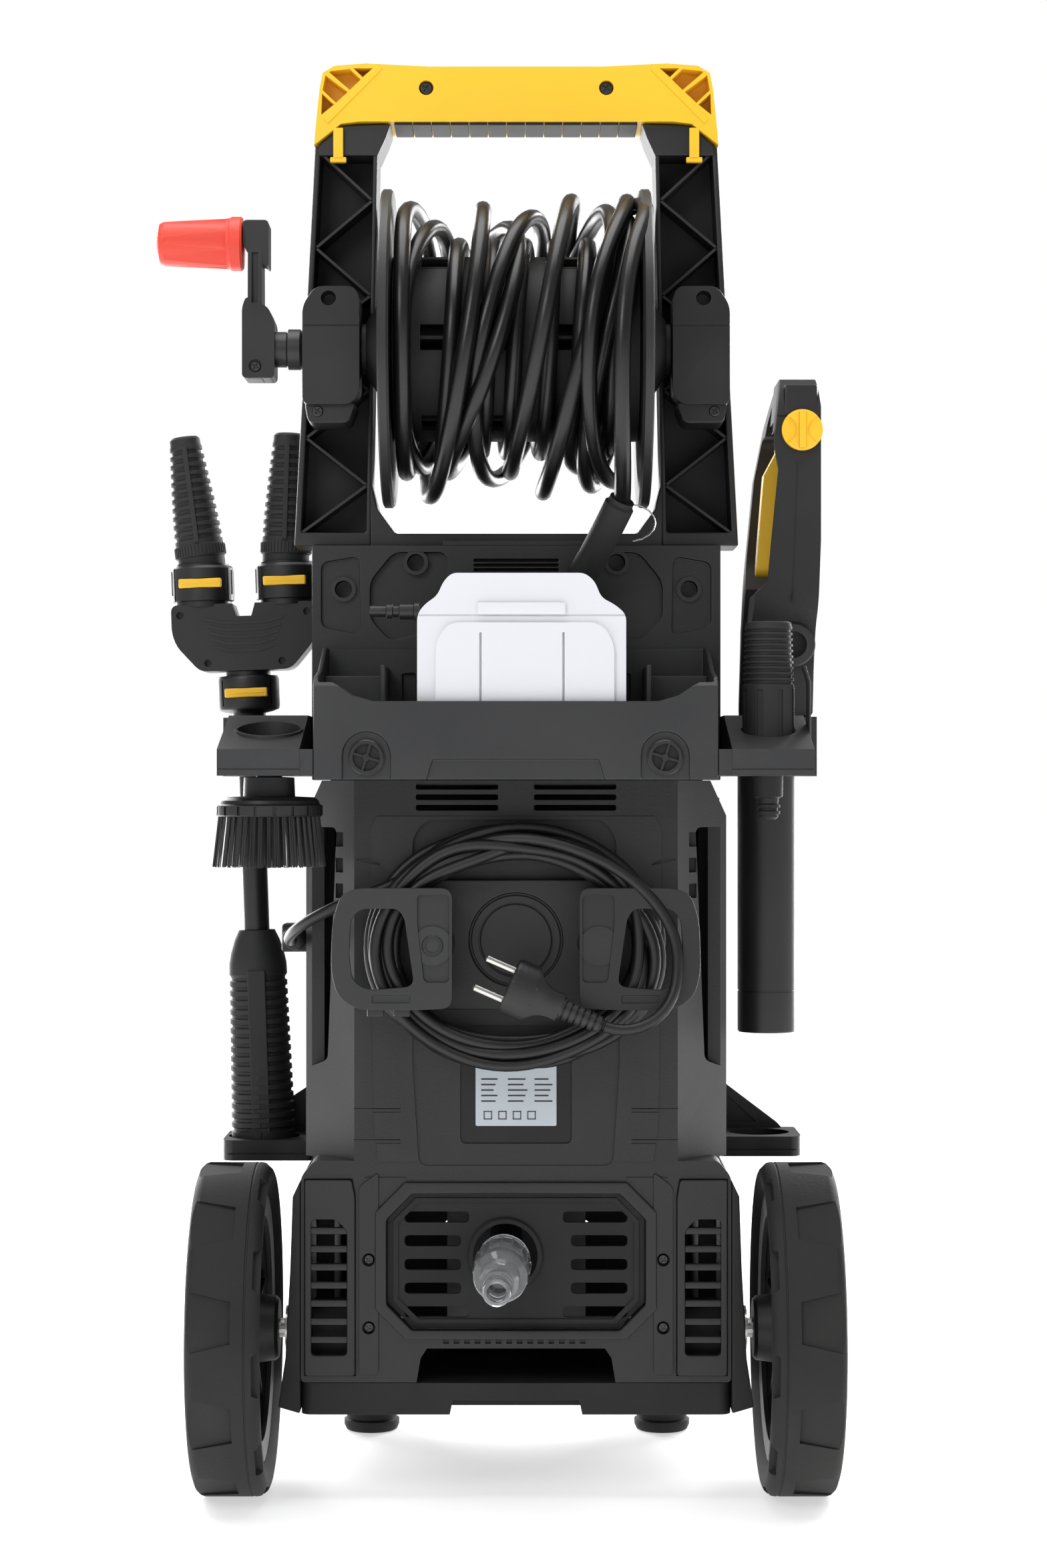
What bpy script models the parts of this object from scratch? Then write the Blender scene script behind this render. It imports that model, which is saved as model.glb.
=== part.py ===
"""An upright wheeled pressure washer with a hose reel, a gun, a lance, a brush and a detergent bottle.

The machine frame has X across it (0 is the mid-plane), -Y towards its rear, +Z up and the floor at 0.
Every object hangs from one empty, which is moved at the end so that the footprint is centred on the
world's origin.
"""

import math

import bmesh
import bpy
from mathutils import Euler, Matrix, Vector

GAP = 0.0003            # clearance between pieces that touch
WALL = 0.003            # moulded casing wall
DEPTH = 0.340           # wheel rear edge to front knob
WHEEL_R = 0.1035
WHEEL_IN = 0.1535       # inner side face of each wheel, from the mid-plane
WHEEL_W = 0.045
RIM_R = 0.083
HUB_R = 0.022
AXLE_R = 0.006
CAP_R = 0.034
CAP_T = 0.0035
TURNS = 32              # segments of large round pieces
SMALL_TURNS = 16        # segments of small round pieces

BODY_HALF = 0.133       # half width of the casing
BASE_Z = 0.055
BASE_TOP = 0.0747
SHELL_TOP = 0.4472
SKIRT_TOP = 0.212       # below this the rear corners are square
SHOULDER_Z = 0.425      # above this the casing narrows to the tray
CORNER_CUT = (0.033, 0.048)     # how far the rear corners are cut across and along the machine
REAR_Y = -0.098         # rear face of the casing
SPLIT_Y = 0.020         # where the rear and front shells meet
KNOB_T = 0.012          # how far the switch knob stands out
KNOB_R = 0.022
KNOB_Z = 0.260
FOOT_R = 0.019
FOOT_H = 0.020
FOOT_X = 0.100
FOOT_Y = DEPTH / 2 - 0.038

DECK_HALF = 0.130
DECK_Y = -0.040         # rear face of the upper deck
DECK_TOP = 0.597
CROSSBAR_T = 0.008
UPPER_HALF = 0.122      # half width of the tray and of the upper front shell
TRAY_Y = -0.150
TRAY_RIM = 0.495
TRAY_SIDE = 0.531
GRILLE = (0.080, 0.107, 0.192, 0.016)    # half width, lowest, highest and corner of the octagonal grille
GRILLE_SLOT = (0.030, 0.069, 0.0065)     # from and to each side of the mid-plane, and height
GRILLE_PITCH = 0.0145
VENT = (0.100, 0.127, 0.096, 0.171)      # each side vent: from and to, lowest and highest
VENT_SLOT = 0.0075
VENT_PITCH = 0.0102
LOUVRE = (0.012, 0.061, 0.0035)          # from and to each side of the mid-plane, and height
LOUVRE_Z = (0.4300, 0.4370)
DECK_HOLES = ((0.064, 0.586), (0.110, 0.569))
DECK_HOLE_R = 0.0055
MOTOR_AT = (0.0, 0.055)
MOTOR_R = 0.055
MOTOR_Z = (0.2150, 0.400)
PUMP_HALF = 0.045
PUMP_Y = (0.005, 0.105)
PUMP_Z = (0.085, MOTOR_Z[0] - GAP)

POST_BACK = -0.030
POST_D = 0.045
GRIP_TOP = 0.905        # the machine's height
GRIP_UNDER = GRIP_TOP - 0.037
POST_TOP = GRIP_TOP - 0.0523
GRIP_HALF = 0.126
GRIP_SCREW = (0.0575, 0.0045)   # from the mid-plane, and the radius of its hole

REEL_Y = -0.050
REEL_Z = 0.720
SHAFT_R = 0.01025
DRUM_R = 0.058
DRUM_HALF = 0.0767
FLANGE_R = 0.100
FLANGE_T = 0.007
HOUSING_IN = 0.098
HOUSING_OUT = 0.134
HOUSING_H = 0.074
COIL_R = 0.090          # outer radius of the wound hose
CRANK_R = 0.067
ARM_OUT = -0.1725
ARM_IN = -0.1520
CRANK_TIP = -0.2265
CRANK_PIN_R = 0.004

HOLDER_Z = 0.450
HOLDER_OUT = 0.180
HOLDER_TOP = 0.488
HOLDER_LIP = 0.466
HOLE_Y = -0.105         # rear hole of each holder
BRUSH_X = -0.152
FAN_X = 0.1554
CUP_R = 0.020
CRADLE_Y = (0.020, 0.080)
CRADLE_TOP = 0.2115

GUN_X = 0.1624
GUN_Y = 0.0
GUN_R = 0.0189
GUN_Z = (0.2846, 0.4883, 0.704)
KNOB_X = 0.1813
GUN_KNOB_R = 0.013
GUN_KNOB_Z = 0.6695
TRIGGER_HINGE = (0.000, 0.664)

LANCE_AT = (-0.1676, 0.050, 0.2042)
LANCE_LEAN = math.radians(2.0)
LANCE_GRIP_H = 0.144
LANCE_R = 0.0085
COUPLING_R = 0.0205
COUPLING_Z = (0.290, 0.3125)
TWIN_Z = (0.316, 0.3612, 0.3876)
TWIN_X = 0.0278
NOZZLE_H = 0.085
BUTTON = (0.028, 0.004, 0.006)
BUTTON_TRAVEL = 0.002

HOOK_Y = -0.1405        # rear face of the hook plates
HOOK_T = 0.005
HOOK_Z = (0.308, 0.382)
HOOK_X = (0.041, 0.112)
HOOK_PIVOT = (-0.0505, 0.347)
CORD_D = 0.007
COIL_AT = (0.0, -0.1210, 0.345)
COIL_SIZE = (0.083, 0.065)      # semi-axes of the wound cord's middle line
COIL_BAND = (0.021, 0.027)      # radial width and depth of the wound cord
PLUG_AT = (-0.0217, -0.1535, 0.3319)     # tip of the pins
PLUG_DROP = math.radians(23.6)
INLET_AT = (-0.0066, -0.0880, 0.153)

BRUSH_R = 0.033
BRUSH_Z = (0.3932, 0.425, 0.436)        # bristle tips, cap underside, cap top
NECK_R = 0.008
FAN_R = 0.016
FAN_TIP_R = 0.010
FAN_SEAT = 0.4675
FAN_Z = (0.4232, 0.5448)
BOTTLE_X = (-0.0597, 0.0667)
BOTTLE_Y = (-0.1445, -0.085)
BOTTLE_TOP = 0.5727
BOTTLE_WALL = 0.002
SLEEVE_D = 0.019

AXLE_Y = WHEEL_R - DEPTH / 2
FRONT_Y = DEPTH / 2 - KNOB_T    # front face of the front shell
SIDES = (("left", -1), ("right", 1))
ON_CORD = ("cord_coil", "cord_lead", "cord_tail", "plug", "hose_coil", "hose_end")

# Each route's points, from where the cord comes out to where it goes in.
LEAD_ROUTE = (
    (-0.1425, -0.0453, 0.3460), (-0.1427, -0.0560, 0.3462), (-0.1424, -0.0680, 0.3475),
    (-0.1406, -0.0830, 0.3505), (-0.1360, -0.0975, 0.3550), (-0.1280, -0.1095, 0.3605),
    (-0.1170, -0.1165, 0.3665), (-0.1040, -0.1195, 0.3730), (-0.0915, -0.1200, 0.3785),
)
TAIL_ROUTE = (
    (0.0532, -0.1535, 0.2992), (0.0620, -0.1535, 0.2957), (0.0705, -0.1515, 0.2938),
    (0.0785, -0.1470, 0.2942), (0.0850, -0.1400, 0.2965), (0.0900, -0.1315, 0.3010),
    (0.0925, -0.1225, 0.3070),
)
SLEEVE_X = DRUM_HALF - 0.0107    # where the sleeve starts, beside the right flange
SLEEVE_ROUTE = (
    (SLEEVE_X, -0.0880, 0.6220), (SLEEVE_X - 0.0070, -0.0805, 0.6080), (SLEEVE_X - 0.0160, -0.0690, 0.5910),
    (SLEEVE_X - 0.0250, -0.0585, 0.5760), (SLEEVE_X - 0.0330, -0.0495, 0.5640),
)

BLACK = (0.012, 0.012, 0.013)
CHARCOAL = (0.030, 0.031, 0.033)
GREY = (0.060, 0.062, 0.066)
YELLOW = (0.960, 0.600, 0.030)
RED = (0.800, 0.130, 0.050)
STEEL = (0.550, 0.560, 0.580)
WHITE = (0.800, 0.810, 0.840)
CLEAR = (0.850, 0.870, 0.880)


def merged(*meshes):
    """One bmesh that holds several that don't touch each other."""
    whole = meshes[0]
    for other in meshes[1:]:
        spare = bpy.data.meshes.new("spare")
        other.to_mesh(spare)
        whole.from_mesh(spare)
        other.free()
        bpy.data.meshes.remove(spare)
    return whole


def block(x, y, z):
    """A box between the given (low, high) pairs."""
    low = Vector((min(x), min(y), min(z)))
    size = Vector((max(x), max(y), max(z))) - low
    bm = bmesh.new()
    place = Matrix.Translation(low + size / 2) @ Matrix.Diagonal((*size, 1.0))
    bmesh.ops.create_cube(bm, size=1.0, matrix=place)
    return bm


def axis_turn(axis):
    """The rotation that takes Z to the named axis."""
    return {
        "X": Matrix.Rotation(math.pi / 2, 4, "Y"),
        "Y": Matrix.Rotation(-math.pi / 2, 4, "X"),
        "Z": Matrix.Identity(4),
    }[axis]


def rod(axis, centre, radius, low, high, turns=SMALL_TURNS, end_radius=None):
    """A cylinder or cone along the axis, from low to high. The axis's own entry of centre isn't read."""
    middle = Vector(centre)
    middle["XYZ".index(axis)] = (low + high) / 2
    bm = bmesh.new()
    bmesh.ops.create_cone(
        bm,
        cap_ends=True,
        segments=turns,
        radius1=radius,
        radius2=radius if end_radius is None else end_radius,
        depth=high - low,
        matrix=Matrix.Translation(middle) @ axis_turn(axis),
    )
    return bm


def turned(axis, centre, profile, turns=TURNS):
    """A profile of (radius, height) points turned about the axis through centre."""
    bm = bmesh.new()
    points = [bm.verts.new((radius, 0.0, height)) for radius, height in profile]
    edges = [bm.edges.new((a, b)) for a, b in zip(points, points[1:])]
    if profile[0][0] > 0.0:
        edges.append(bm.edges.new((points[-1], points[0])))
    bmesh.ops.spin(
        bm, geom=points + edges, axis=(0, 0, 1), cent=(0, 0, 0),
        angle=math.tau, steps=turns, use_merge=True,
    )
    bmesh.ops.remove_doubles(bm, verts=bm.verts, dist=1e-6)
    bmesh.ops.transform(bm, verts=bm.verts, matrix=Matrix.Translation(centre) @ axis_turn(axis))
    bmesh.ops.recalc_face_normals(bm, faces=bm.faces)
    return bm


def prism(plane, outline, low, high):
    """An outline in the named plane, such as XZ, drawn out along the third axis from low to high."""
    first, second = ("XYZ".index(letter) for letter in plane)
    third = 3 - first - second
    bm = bmesh.new()
    corners = []
    for a, b in outline:
        place = [0.0, 0.0, 0.0]
        place[first], place[second], place[third] = a, b, low
        corners.append(bm.verts.new(place))
    face = bm.faces.new(corners)
    grown = bmesh.ops.extrude_face_region(bm, geom=[face])["geom"]
    along = Vector((0.0, 0.0, 0.0))
    along[third] = high - low
    bmesh.ops.translate(bm, verts=[v for v in grown if isinstance(v, bmesh.types.BMVert)], vec=along)
    bmesh.ops.recalc_face_normals(bm, faces=bm.faces)
    return bm


def moved(bm, matrix):
    bmesh.ops.transform(bm, verts=bm.verts, matrix=matrix)
    return bm


def open_faces(bm, *directions):
    """Takes away the faces that look along each direction, for a shell that is open there."""
    bm.normal_update()
    gone = [f for f in bm.faces if any(f.normal.dot(Vector(d)) > 0.99 for d in directions)]
    bmesh.ops.delete(bm, geom=gone, context="FACES")
    return bm


def paint(obj, colour, roughness=0.5, metallic=0.0):
    finish = bpy.data.materials.new(obj.name + "_finish")
    finish.use_nodes = True
    shader = finish.node_tree.nodes["Principled BSDF"]
    shader.inputs["Base Color"].default_value = (*colour, 1.0)
    shader.inputs["Roughness"].default_value = roughness
    shader.inputs["Metallic"].default_value = metallic
    obj.data.materials.append(finish)


def linked(name, bm, origin, parent):
    """An object whose mesh is bm, with its own origin at the given point of the parent's frame."""
    mesh = bpy.data.meshes.new(name)
    bmesh.ops.translate(bm, verts=bm.verts, vec=-Vector(origin))
    bm.to_mesh(mesh)
    bm.free()
    obj = bpy.data.objects.new(name, mesh)
    bpy.context.collection.objects.link(obj)
    obj.location = origin
    obj.parent = parent
    return obj


def piece(
    name, shape, colour, parent, origin=(0, 0, 0), adds=(), cuts=(), wall=0.0, roughness=0.5, metallic=0.0
):
    """A named sub-part: a shape, given a wall if it is a shell, then joined with adds and cut by cuts."""
    obj = linked(name, shape, origin, parent)
    if wall:
        solidify = obj.modifiers.new("wall", "SOLIDIFY")
        solidify.thickness = wall
        solidify.offset = -1.0
        solidify.use_even_offset = True
    for kind, helpers in (("UNION", adds), ("DIFFERENCE", cuts)):
        for number, helper in enumerate(helpers):
            tool = linked(f"{name}_{kind.lower()}_{number}", helper, origin, parent)
            tool.hide_render = True
            tool.display_type = "WIRE"
            boolean = obj.modifiers.new(tool.name, "BOOLEAN")
            boolean.operation = kind
            boolean.solver = "EXACT"
            boolean.object = tool
    obj.data.shade_smooth()
    obj.data.set_sharp_from_angle(angle=math.radians(30))
    paint(obj, colour, roughness, metallic)
    return obj


def empty(name, place, parent=None, turn=(0, 0, 0)):
    obj = bpy.data.objects.new(name, None)
    bpy.context.collection.objects.link(obj)
    obj.location = place
    obj.rotation_euler = Euler(turn)
    obj.parent = parent
    return obj


def build_wheel(root, side, s):
    """One wheel: a tyre, a rim and a hub cap about the axle. s is -1 on the left and 1 on the right."""
    axle = (0.0, AXLE_Y, WHEEL_R)
    inner, outer = WHEEL_IN, WHEEL_IN + WHEEL_W
    hub = empty(f"wheel_{side}_hub", (s * (inner + outer) / 2, AXLE_Y, WHEEL_R), root)
    centre = (s * (inner + outer) / 2, AXLE_Y, WHEEL_R)

    def about_axle(profile):
        bm = turned("X", axle, [(radius, s * along) for radius, along in profile])
        return moved(bm, Matrix.Translation(-Vector(centre)))

    tread = [
        (RIM_R, inner + 0.0025), (WHEEL_R - 0.0055, inner), (WHEEL_R, inner + 0.005),
        (WHEEL_R, outer - 0.005), (WHEEL_R - 0.0055, outer), (RIM_R, outer - 0.0025),
    ]
    piece(f"tyre_{side}", about_axle(tread), BLACK, hub, roughness=0.8)
    seat = RIM_R - GAP
    bore = AXLE_R + 0.0005
    dish = [
        (seat, inner + 0.004), (seat, outer - 0.004), (seat - 0.006, outer - 0.004),
        (seat - 0.009, outer - 0.018),
        (HUB_R, outer - 0.020), (HUB_R, outer - CAP_T + 0.0015 - GAP), (bore, outer - CAP_T + 0.0015 - GAP),
        (bore, inner - 0.005), (HUB_R, inner - 0.005), (HUB_R, outer - 0.026), (seat - 0.009, outer - 0.024),
        (seat - 0.006, inner + 0.004),
    ]
    piece(f"rim_{side}", about_axle(dish), CHARCOAL, hub)
    face = outer - CAP_T + 0.0015
    cap = [
        (0.0, face), (CAP_R, face), (CAP_R, face + 0.0015), (CAP_R - 0.006, face + CAP_T),
        (0.0, face + CAP_T),
    ]
    piece(f"hubcap_{side}", about_axle(cap), YELLOW, hub, roughness=0.4)


def build_undercarriage(root):
    axle_end = WHEEL_IN + WHEEL_W - 0.004
    piece("axle", rod("X", (0, AXLE_Y, WHEEL_R), AXLE_R, -axle_end, axle_end), STEEL, root,
          roughness=0.3, metallic=1.0)
    plate = block((-BODY_HALF, BODY_HALF), (REAR_Y, FRONT_Y - 0.006), (BASE_Z, BASE_TOP))
    bearers = [
        block((s * 0.105, s * 0.127), (AXLE_Y - 0.016, AXLE_Y + 0.016), (BASE_TOP - 0.002, WHEEL_R + 0.018))
        for s in (-1, 1)
    ]
    legs = [
        block((s * (FOOT_X - 0.020), s * (FOOT_X + 0.020)), (FOOT_Y - 0.019, FOOT_Y + 0.019),
              (FOOT_H + GAP, BASE_Z + 0.002))
        for s in (-1, 1)
    ]
    bore = rod("X", (0, AXLE_Y, WHEEL_R), AXLE_R + 0.0005, -0.140, 0.140)
    notch = block((-0.0375, 0.0375), (REAR_Y - 0.01, REAR_Y + 0.03), (BASE_Z - 0.01, BASE_Z + 0.009))
    piece("base", plate, BLACK, root, adds=[merged(*bearers), merged(*legs)], cuts=[bore, notch])
    for side, s in SIDES:
        foot = rod("Z", (s * FOOT_X, FOOT_Y, 0), FOOT_R, 0.0, FOOT_H)
        piece(f"foot_{side}", foot, BLACK, root, roughness=0.9)


def octagon(half, low, high, corner):
    return [
        (-half, low + corner), (-half + corner, low), (half - corner, low), (half, low + corner),
        (half, high - corner), (half - corner, high), (-half + corner, high), (-half, high - corner),
    ]


def vent_window(s, grow):
    """The outline of a side vent, from the mid-plane out."""
    near, far, low, high = VENT
    return [
        (s * (near - grow), low - grow), (s * (far + grow), low - grow),
        (s * (far + grow), high + grow), (s * (near - grow), high + grow),
    ]


def rear_plan(inset):
    """The rear casing from above, with its chamfered rear corners, drawn in by inset."""
    run, rise = CORNER_CUT
    slant = inset * math.hypot(run, rise) / rise
    near, side = REAR_Y + inset, BODY_HALF - inset
    near_x = BODY_HALF - run + inset * run / rise - slant
    side_y = REAR_Y + (side - (BODY_HALF - run) + slant) * rise / run
    front = SPLIT_Y + (0.01 if inset else 0.0)
    half = [(side, front), (side, side_y), (near_x, near)]
    return half + [(-x, y) for x, y in reversed(half)]


def build_casing(root):
    skirt = block((-BODY_HALF, BODY_HALF), (REAR_Y, SPLIT_Y), (BASE_TOP + GAP, SKIRT_TOP))
    shell = prism("XY", rear_plan(0.0), SKIRT_TOP - 0.001, SHELL_TOP)
    shoulders = merged(*[
        prism("XZ", [(s * BODY_HALF, SHOULDER_Z), (s * UPPER_HALF, SHELL_TOP), (s * UPPER_HALF, 0.5),
                     (s * 0.2, 0.5), (s * 0.2, SHOULDER_Z)], REAR_Y - 0.01, SPLIT_Y + 0.01)
        for s in (-1, 1)
    ])
    skirt_room = block((WALL - BODY_HALF, BODY_HALF - WALL), (REAR_Y + WALL, SPLIT_Y + 0.01),
                       (BASE_TOP - 0.01, SKIRT_TOP - WALL))
    room = prism("XY", rear_plan(WALL), SKIRT_TOP - WALL - 0.001, SHOULDER_Z - WALL)
    top_room = block((WALL * 2 - UPPER_HALF, UPPER_HALF - WALL * 2), (REAR_Y + 0.040, SPLIT_Y + 0.01),
                     (SHOULDER_Z - WALL * 2, SHELL_TOP - WALL))
    top_rear = block((-0.092, 0.092), (REAR_Y + WALL, REAR_Y + 0.041),
                     (SHOULDER_Z - WALL * 2, SHELL_TOP - WALL))
    through = (REAR_Y - 0.01, REAR_Y + 0.01)
    half, low, high, corner = GRILLE
    grille = prism("XZ", octagon(half, low, high, corner), *through)
    vents = merged(*[prism("XZ", vent_window(s, GAP), *through) for _, s in SIDES])
    near, far, tall = LOUVRE
    louvres = merged(*[
        block((s * near, s * far), through, (z, z + tall)) for s in (-1, 1) for z in LOUVRE_Z
    ])
    bore = rod("X", (0, AXLE_Y, WHEEL_R), AXLE_R + 0.0015, -0.140, 0.140)
    piece("rear_shell", shell, CHARCOAL, root, adds=[skirt],
          cuts=[shoulders, skirt_room, room, top_room, top_rear, grille, vents, louvres, bore])

    plate = prism("XZ", octagon(half - GAP, low + GAP, high - GAP, corner), REAR_Y + 0.0045, REAR_Y + 0.0075)
    near, far, tall = GRILLE_SLOT
    rows = [low + 0.008 + GRILLE_PITCH * row for row in range(5)]
    slots = merged(*[block((s * near, s * far), through, (z, z + tall)) for s in (-1, 1) for z in rows])
    hole = rod("Y", (INLET_AT[0], 0, INLET_AT[2]), 0.020, *through)
    piece("inlet_cover", plate, BLACK, root, cuts=[slots, hole])
    for side, s in SIDES:
        frame = prism("XZ", vent_window(s, 0), REAR_Y - 0.002, REAR_Y + 0.004)
        near, far = s * (VENT[0] + 0.0025), s * (VENT[1] - 0.0025)
        rows = [VENT[2] + 0.003 + VENT_PITCH * row for row in range(7)]
        gaps = merged(*[block((near, far), through, (z, z + VENT_SLOT)) for z in rows])
        piece(f"side_vent_{side}", frame, CHARCOAL, root, cuts=[gaps])

    back = SPLIT_Y + GAP
    side_view = [
        (back, BASE_TOP + GAP), (FRONT_Y - 0.010, BASE_TOP + GAP), (FRONT_Y, 0.110), (FRONT_Y, 0.300),
        (FRONT_Y - 0.016, 0.420), (FRONT_Y - 0.045, 0.500), (FRONT_Y - 0.080, DECK_TOP - GAP),
        (back, DECK_TOP - GAP),
    ]
    front = prism("YZ", side_view, -BODY_HALF, BODY_HALF)
    sides = []
    for s in (-1, 1):
        sides.append(block((s * UPPER_HALF, s * 0.160), (back - 0.01, DEPTH), (0.436, 0.620)))
    inside = [
        (back - 0.01, BASE_TOP - 0.01), (FRONT_Y - 0.016, BASE_TOP - 0.01), (FRONT_Y - WALL, 0.114),
        (FRONT_Y - WALL, 0.299), (FRONT_Y - 0.019, 0.418), (FRONT_Y - 0.048, 0.498),
        (FRONT_Y - 0.083, DECK_TOP - GAP - WALL), (back - 0.01, DECK_TOP - GAP - WALL),
    ]
    hollow = prism("YZ", inside, WALL - UPPER_HALF, UPPER_HALF - WALL)
    low_hollow = prism("YZ", inside[:4] + [(FRONT_Y - 0.017, 0.405), (FRONT_Y - 0.022, 0.433 - WALL),
                       (back - 0.01, 0.433 - WALL)], WALL - BODY_HALF, BODY_HALF - WALL)
    piece("front_shell", front, CHARCOAL, root, cuts=[merged(*sides), hollow, low_hollow])

    deck = open_faces(block((-DECK_HALF, DECK_HALF), (DECK_Y, SPLIT_Y), (SHELL_TOP + GAP, DECK_TOP)),
                      (0, 1, 0), (0, 0, -1))
    crossbar = block((-0.0875, 0.0875), (POST_BACK, POST_BACK + POST_D),
                     (DECK_TOP - 0.001, DECK_TOP + CROSSBAR_T))
    holes = merged(*[
        rod("Y", (s * x, 0, z), DECK_HOLE_R, DECK_Y - 0.01, DECK_Y + 0.01, 12)
        for s in (-1, 1) for x, z in DECK_HOLES
    ])
    piece("top_deck", deck, BLACK, root, wall=WALL, adds=[crossbar], cuts=[holes])


def build_inside(root):
    """The motor stands on the pump, whose inlet stub reaches the rear grille."""
    piece("motor", rod("Z", (*MOTOR_AT, 0), MOTOR_R, *MOTOR_Z, 24), STEEL, root, metallic=1.0)
    body = block((-PUMP_HALF, PUMP_HALF), PUMP_Y, PUMP_Z)
    stub = rod("Y", (INLET_AT[0], 0, INLET_AT[2]), 0.0105, INLET_AT[1] + 0.0025, PUMP_Y[0] + 0.005)
    piece("pump", body, STEEL, root, adds=[stub], metallic=1.0)
    knob = rod("Y", (0, 0, KNOB_Z), KNOB_R, FRONT_Y + GAP, FRONT_Y + KNOB_T, 24, KNOB_R - 0.002)
    piece("switch_knob", knob, YELLOW, root, origin=(0, FRONT_Y, KNOB_Z), roughness=0.4)


def build_tray(root):
    end = DECK_Y - GAP
    low = SHELL_TOP + GAP
    side_view = [
        (TRAY_Y, low), (end, low), (end, TRAY_SIDE), (end - 0.030, TRAY_SIDE),
        (TRAY_Y + 0.030, TRAY_RIM + 0.006), (TRAY_Y, TRAY_RIM),
    ]
    trough = prism("YZ", side_view, -UPPER_HALF, UPPER_HALF)
    trough.normal_update()
    lids = [face for face in trough.faces if face.normal.z > 0.4]
    bmesh.ops.delete(trough, geom=lids, context="FACES")
    piece("tray", trough, GREY, root, wall=WALL)


def holder_block(s, reach, y):
    """Part of a holder's sloped plate, from the casing out to reach and over the given stretch of Y."""
    def top(at):
        return min(HOLDER_TOP, HOLDER_LIP + (at - TRAY_Y) * (HOLDER_TOP - HOLDER_LIP) / 0.080)

    bend = TRAY_Y + 0.080
    outline = [(y[0], HOLDER_Z), (y[1], HOLDER_Z), (y[1], top(y[1]))]
    if y[0] < bend < y[1]:
        outline.append((bend, HOLDER_TOP))
    outline.append((y[0], top(y[0])))
    return prism("YZ", outline, s * (DECK_HALF + GAP), s * reach)


def build_holders(root):
    tray_side = UPPER_HALF + GAP
    over = (HOLDER_Z - 0.01, HOLDER_TOP + 0.01)
    lance = (LANCE_AT[0] - math.sin(LANCE_LEAN) * (HOLDER_TOP - LANCE_AT[2]), LANCE_AT[1])

    left = holder_block(-1, HOLDER_OUT, (TRAY_Y, 0.0))
    arm_y = (TRAY_Y + GAP, DECK_Y - 0.0006)
    arm_z = (HOLDER_Z + 0.0002, HOLDER_LIP)
    near = block((-tray_side, -DECK_HALF - 0.004), arm_y, arm_z)
    far = holder_block(-1, HOLDER_OUT + 0.010, (-0.002, LANCE_AT[1] + 0.025))
    cup = rod("Z", (BRUSH_X, HOLE_Y, 0), CUP_R, HOLDER_Z + 0.006, over[1], 24)
    neck = rod("Z", (BRUSH_X, HOLE_Y, 0), NECK_R + 0.0007, over[0], HOLDER_Z + 0.008)
    slot = rod("Z", (*lance, 0), LANCE_R + 0.0025, *over)
    mouth = block((lance[0] - 0.040, lance[0]), (lance[1] - 0.0095, lance[1] + 0.0095), over)
    piece("holder_left", left, GREY, root, adds=[near, far], cuts=[cup, neck, slot, mouth])

    right = holder_block(1, HOLDER_OUT, (TRAY_Y, 0.0))
    near = block((tray_side, DECK_HALF + 0.004), arm_y, arm_z)
    far = holder_block(1, HOLDER_OUT + 0.012, (-0.032, GUN_Y + 0.032))
    seat = rod("Z", (FAN_X, HOLE_Y, 0), FAN_R + 0.0008, FAN_SEAT, over[1], 24)
    tip = rod("Z", (FAN_X, HOLE_Y, 0), FAN_TIP_R + 0.0008, over[0], FAN_SEAT + 0.002)
    barrel = rod("Z", (GUN_X, GUN_Y, 0), GUN_R + 0.0015, *over, 24)
    piece("holder_right", right, GREY, root, adds=[near, far], cuts=[seat, tip, barrel])

    side = BODY_HALF + GAP
    for name, s, reach, cup_x, cup_r, floor, rim in (
        ("cradle_left", -1, 0.1930, LANCE_AT[0], 0.0235, LANCE_AT[2] - 0.0011, CRADLE_TOP),
        ("cradle_right", 1, 0.1870, 0.1610, CUP_R, 0.2060, 0.2140),
    ):
        plate = block((s * side, s * reach), CRADLE_Y, (floor - 0.005, rim))
        cup = rod("Z", (cup_x, LANCE_AT[1], 0), cup_r, floor, rim + 0.01, 24)
        corners = [(s * side, rim - 0.001), (s * (reach - 0.01), rim - 0.001), (s * side, rim + 0.035)]
        web = prism("XZ", corners, CRADLE_Y[1] - 0.0045, CRADLE_Y[1])
        piece(name, plate, BLACK, root, adds=[web], cuts=[cup])


def build_handle(root):
    for side, s in SIDES:
        outline = [
            (s * 0.142, DECK_TOP + GAP), (s * 0.1287, POST_TOP), (s * 0.0885, POST_TOP),
            (s * 0.0935, DECK_TOP + GAP),
        ]
        low, high = DECK_TOP + 0.009, POST_TOP - 0.0077
        channel = [(s * 0.135, low), (s * 0.1225, high), (s * 0.0945, high), (s * 0.0995, low)]
        post = prism("XZ", outline, POST_BACK, POST_BACK + POST_D)
        hollow = prism("XZ", channel, POST_BACK - 0.01, POST_BACK + 0.026)
        piece(f"post_{side}", post, BLACK, root, cuts=[hollow])
    low = POST_TOP + GAP
    half = [(GRIP_HALF + 0.002, low), (GRIP_HALF - 0.002, GRIP_TOP - 0.014), (GRIP_HALF - 0.014, GRIP_TOP)]
    inner = [(0.0885, low), (0.0800, GRIP_UNDER)]
    outline = half + [(-x, z) for x, z in reversed(half)]
    outline += [(-x, z) for x, z in inner] + list(reversed(inner))
    bar = prism("XZ", outline, POST_BACK - 0.004, POST_BACK + POST_D - 0.001)
    screw_x, screw_r = GRIP_SCREW
    screws = merged(*[
        rod("Y", (s * screw_x, 0, GRIP_TOP - 0.018), screw_r, POST_BACK - 0.01, POST_BACK + 0.006, 12)
        for s in (-1, 1)
    ])
    piece("handle_grip", bar, YELLOW, root, cuts=[screws], roughness=0.35)


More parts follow.
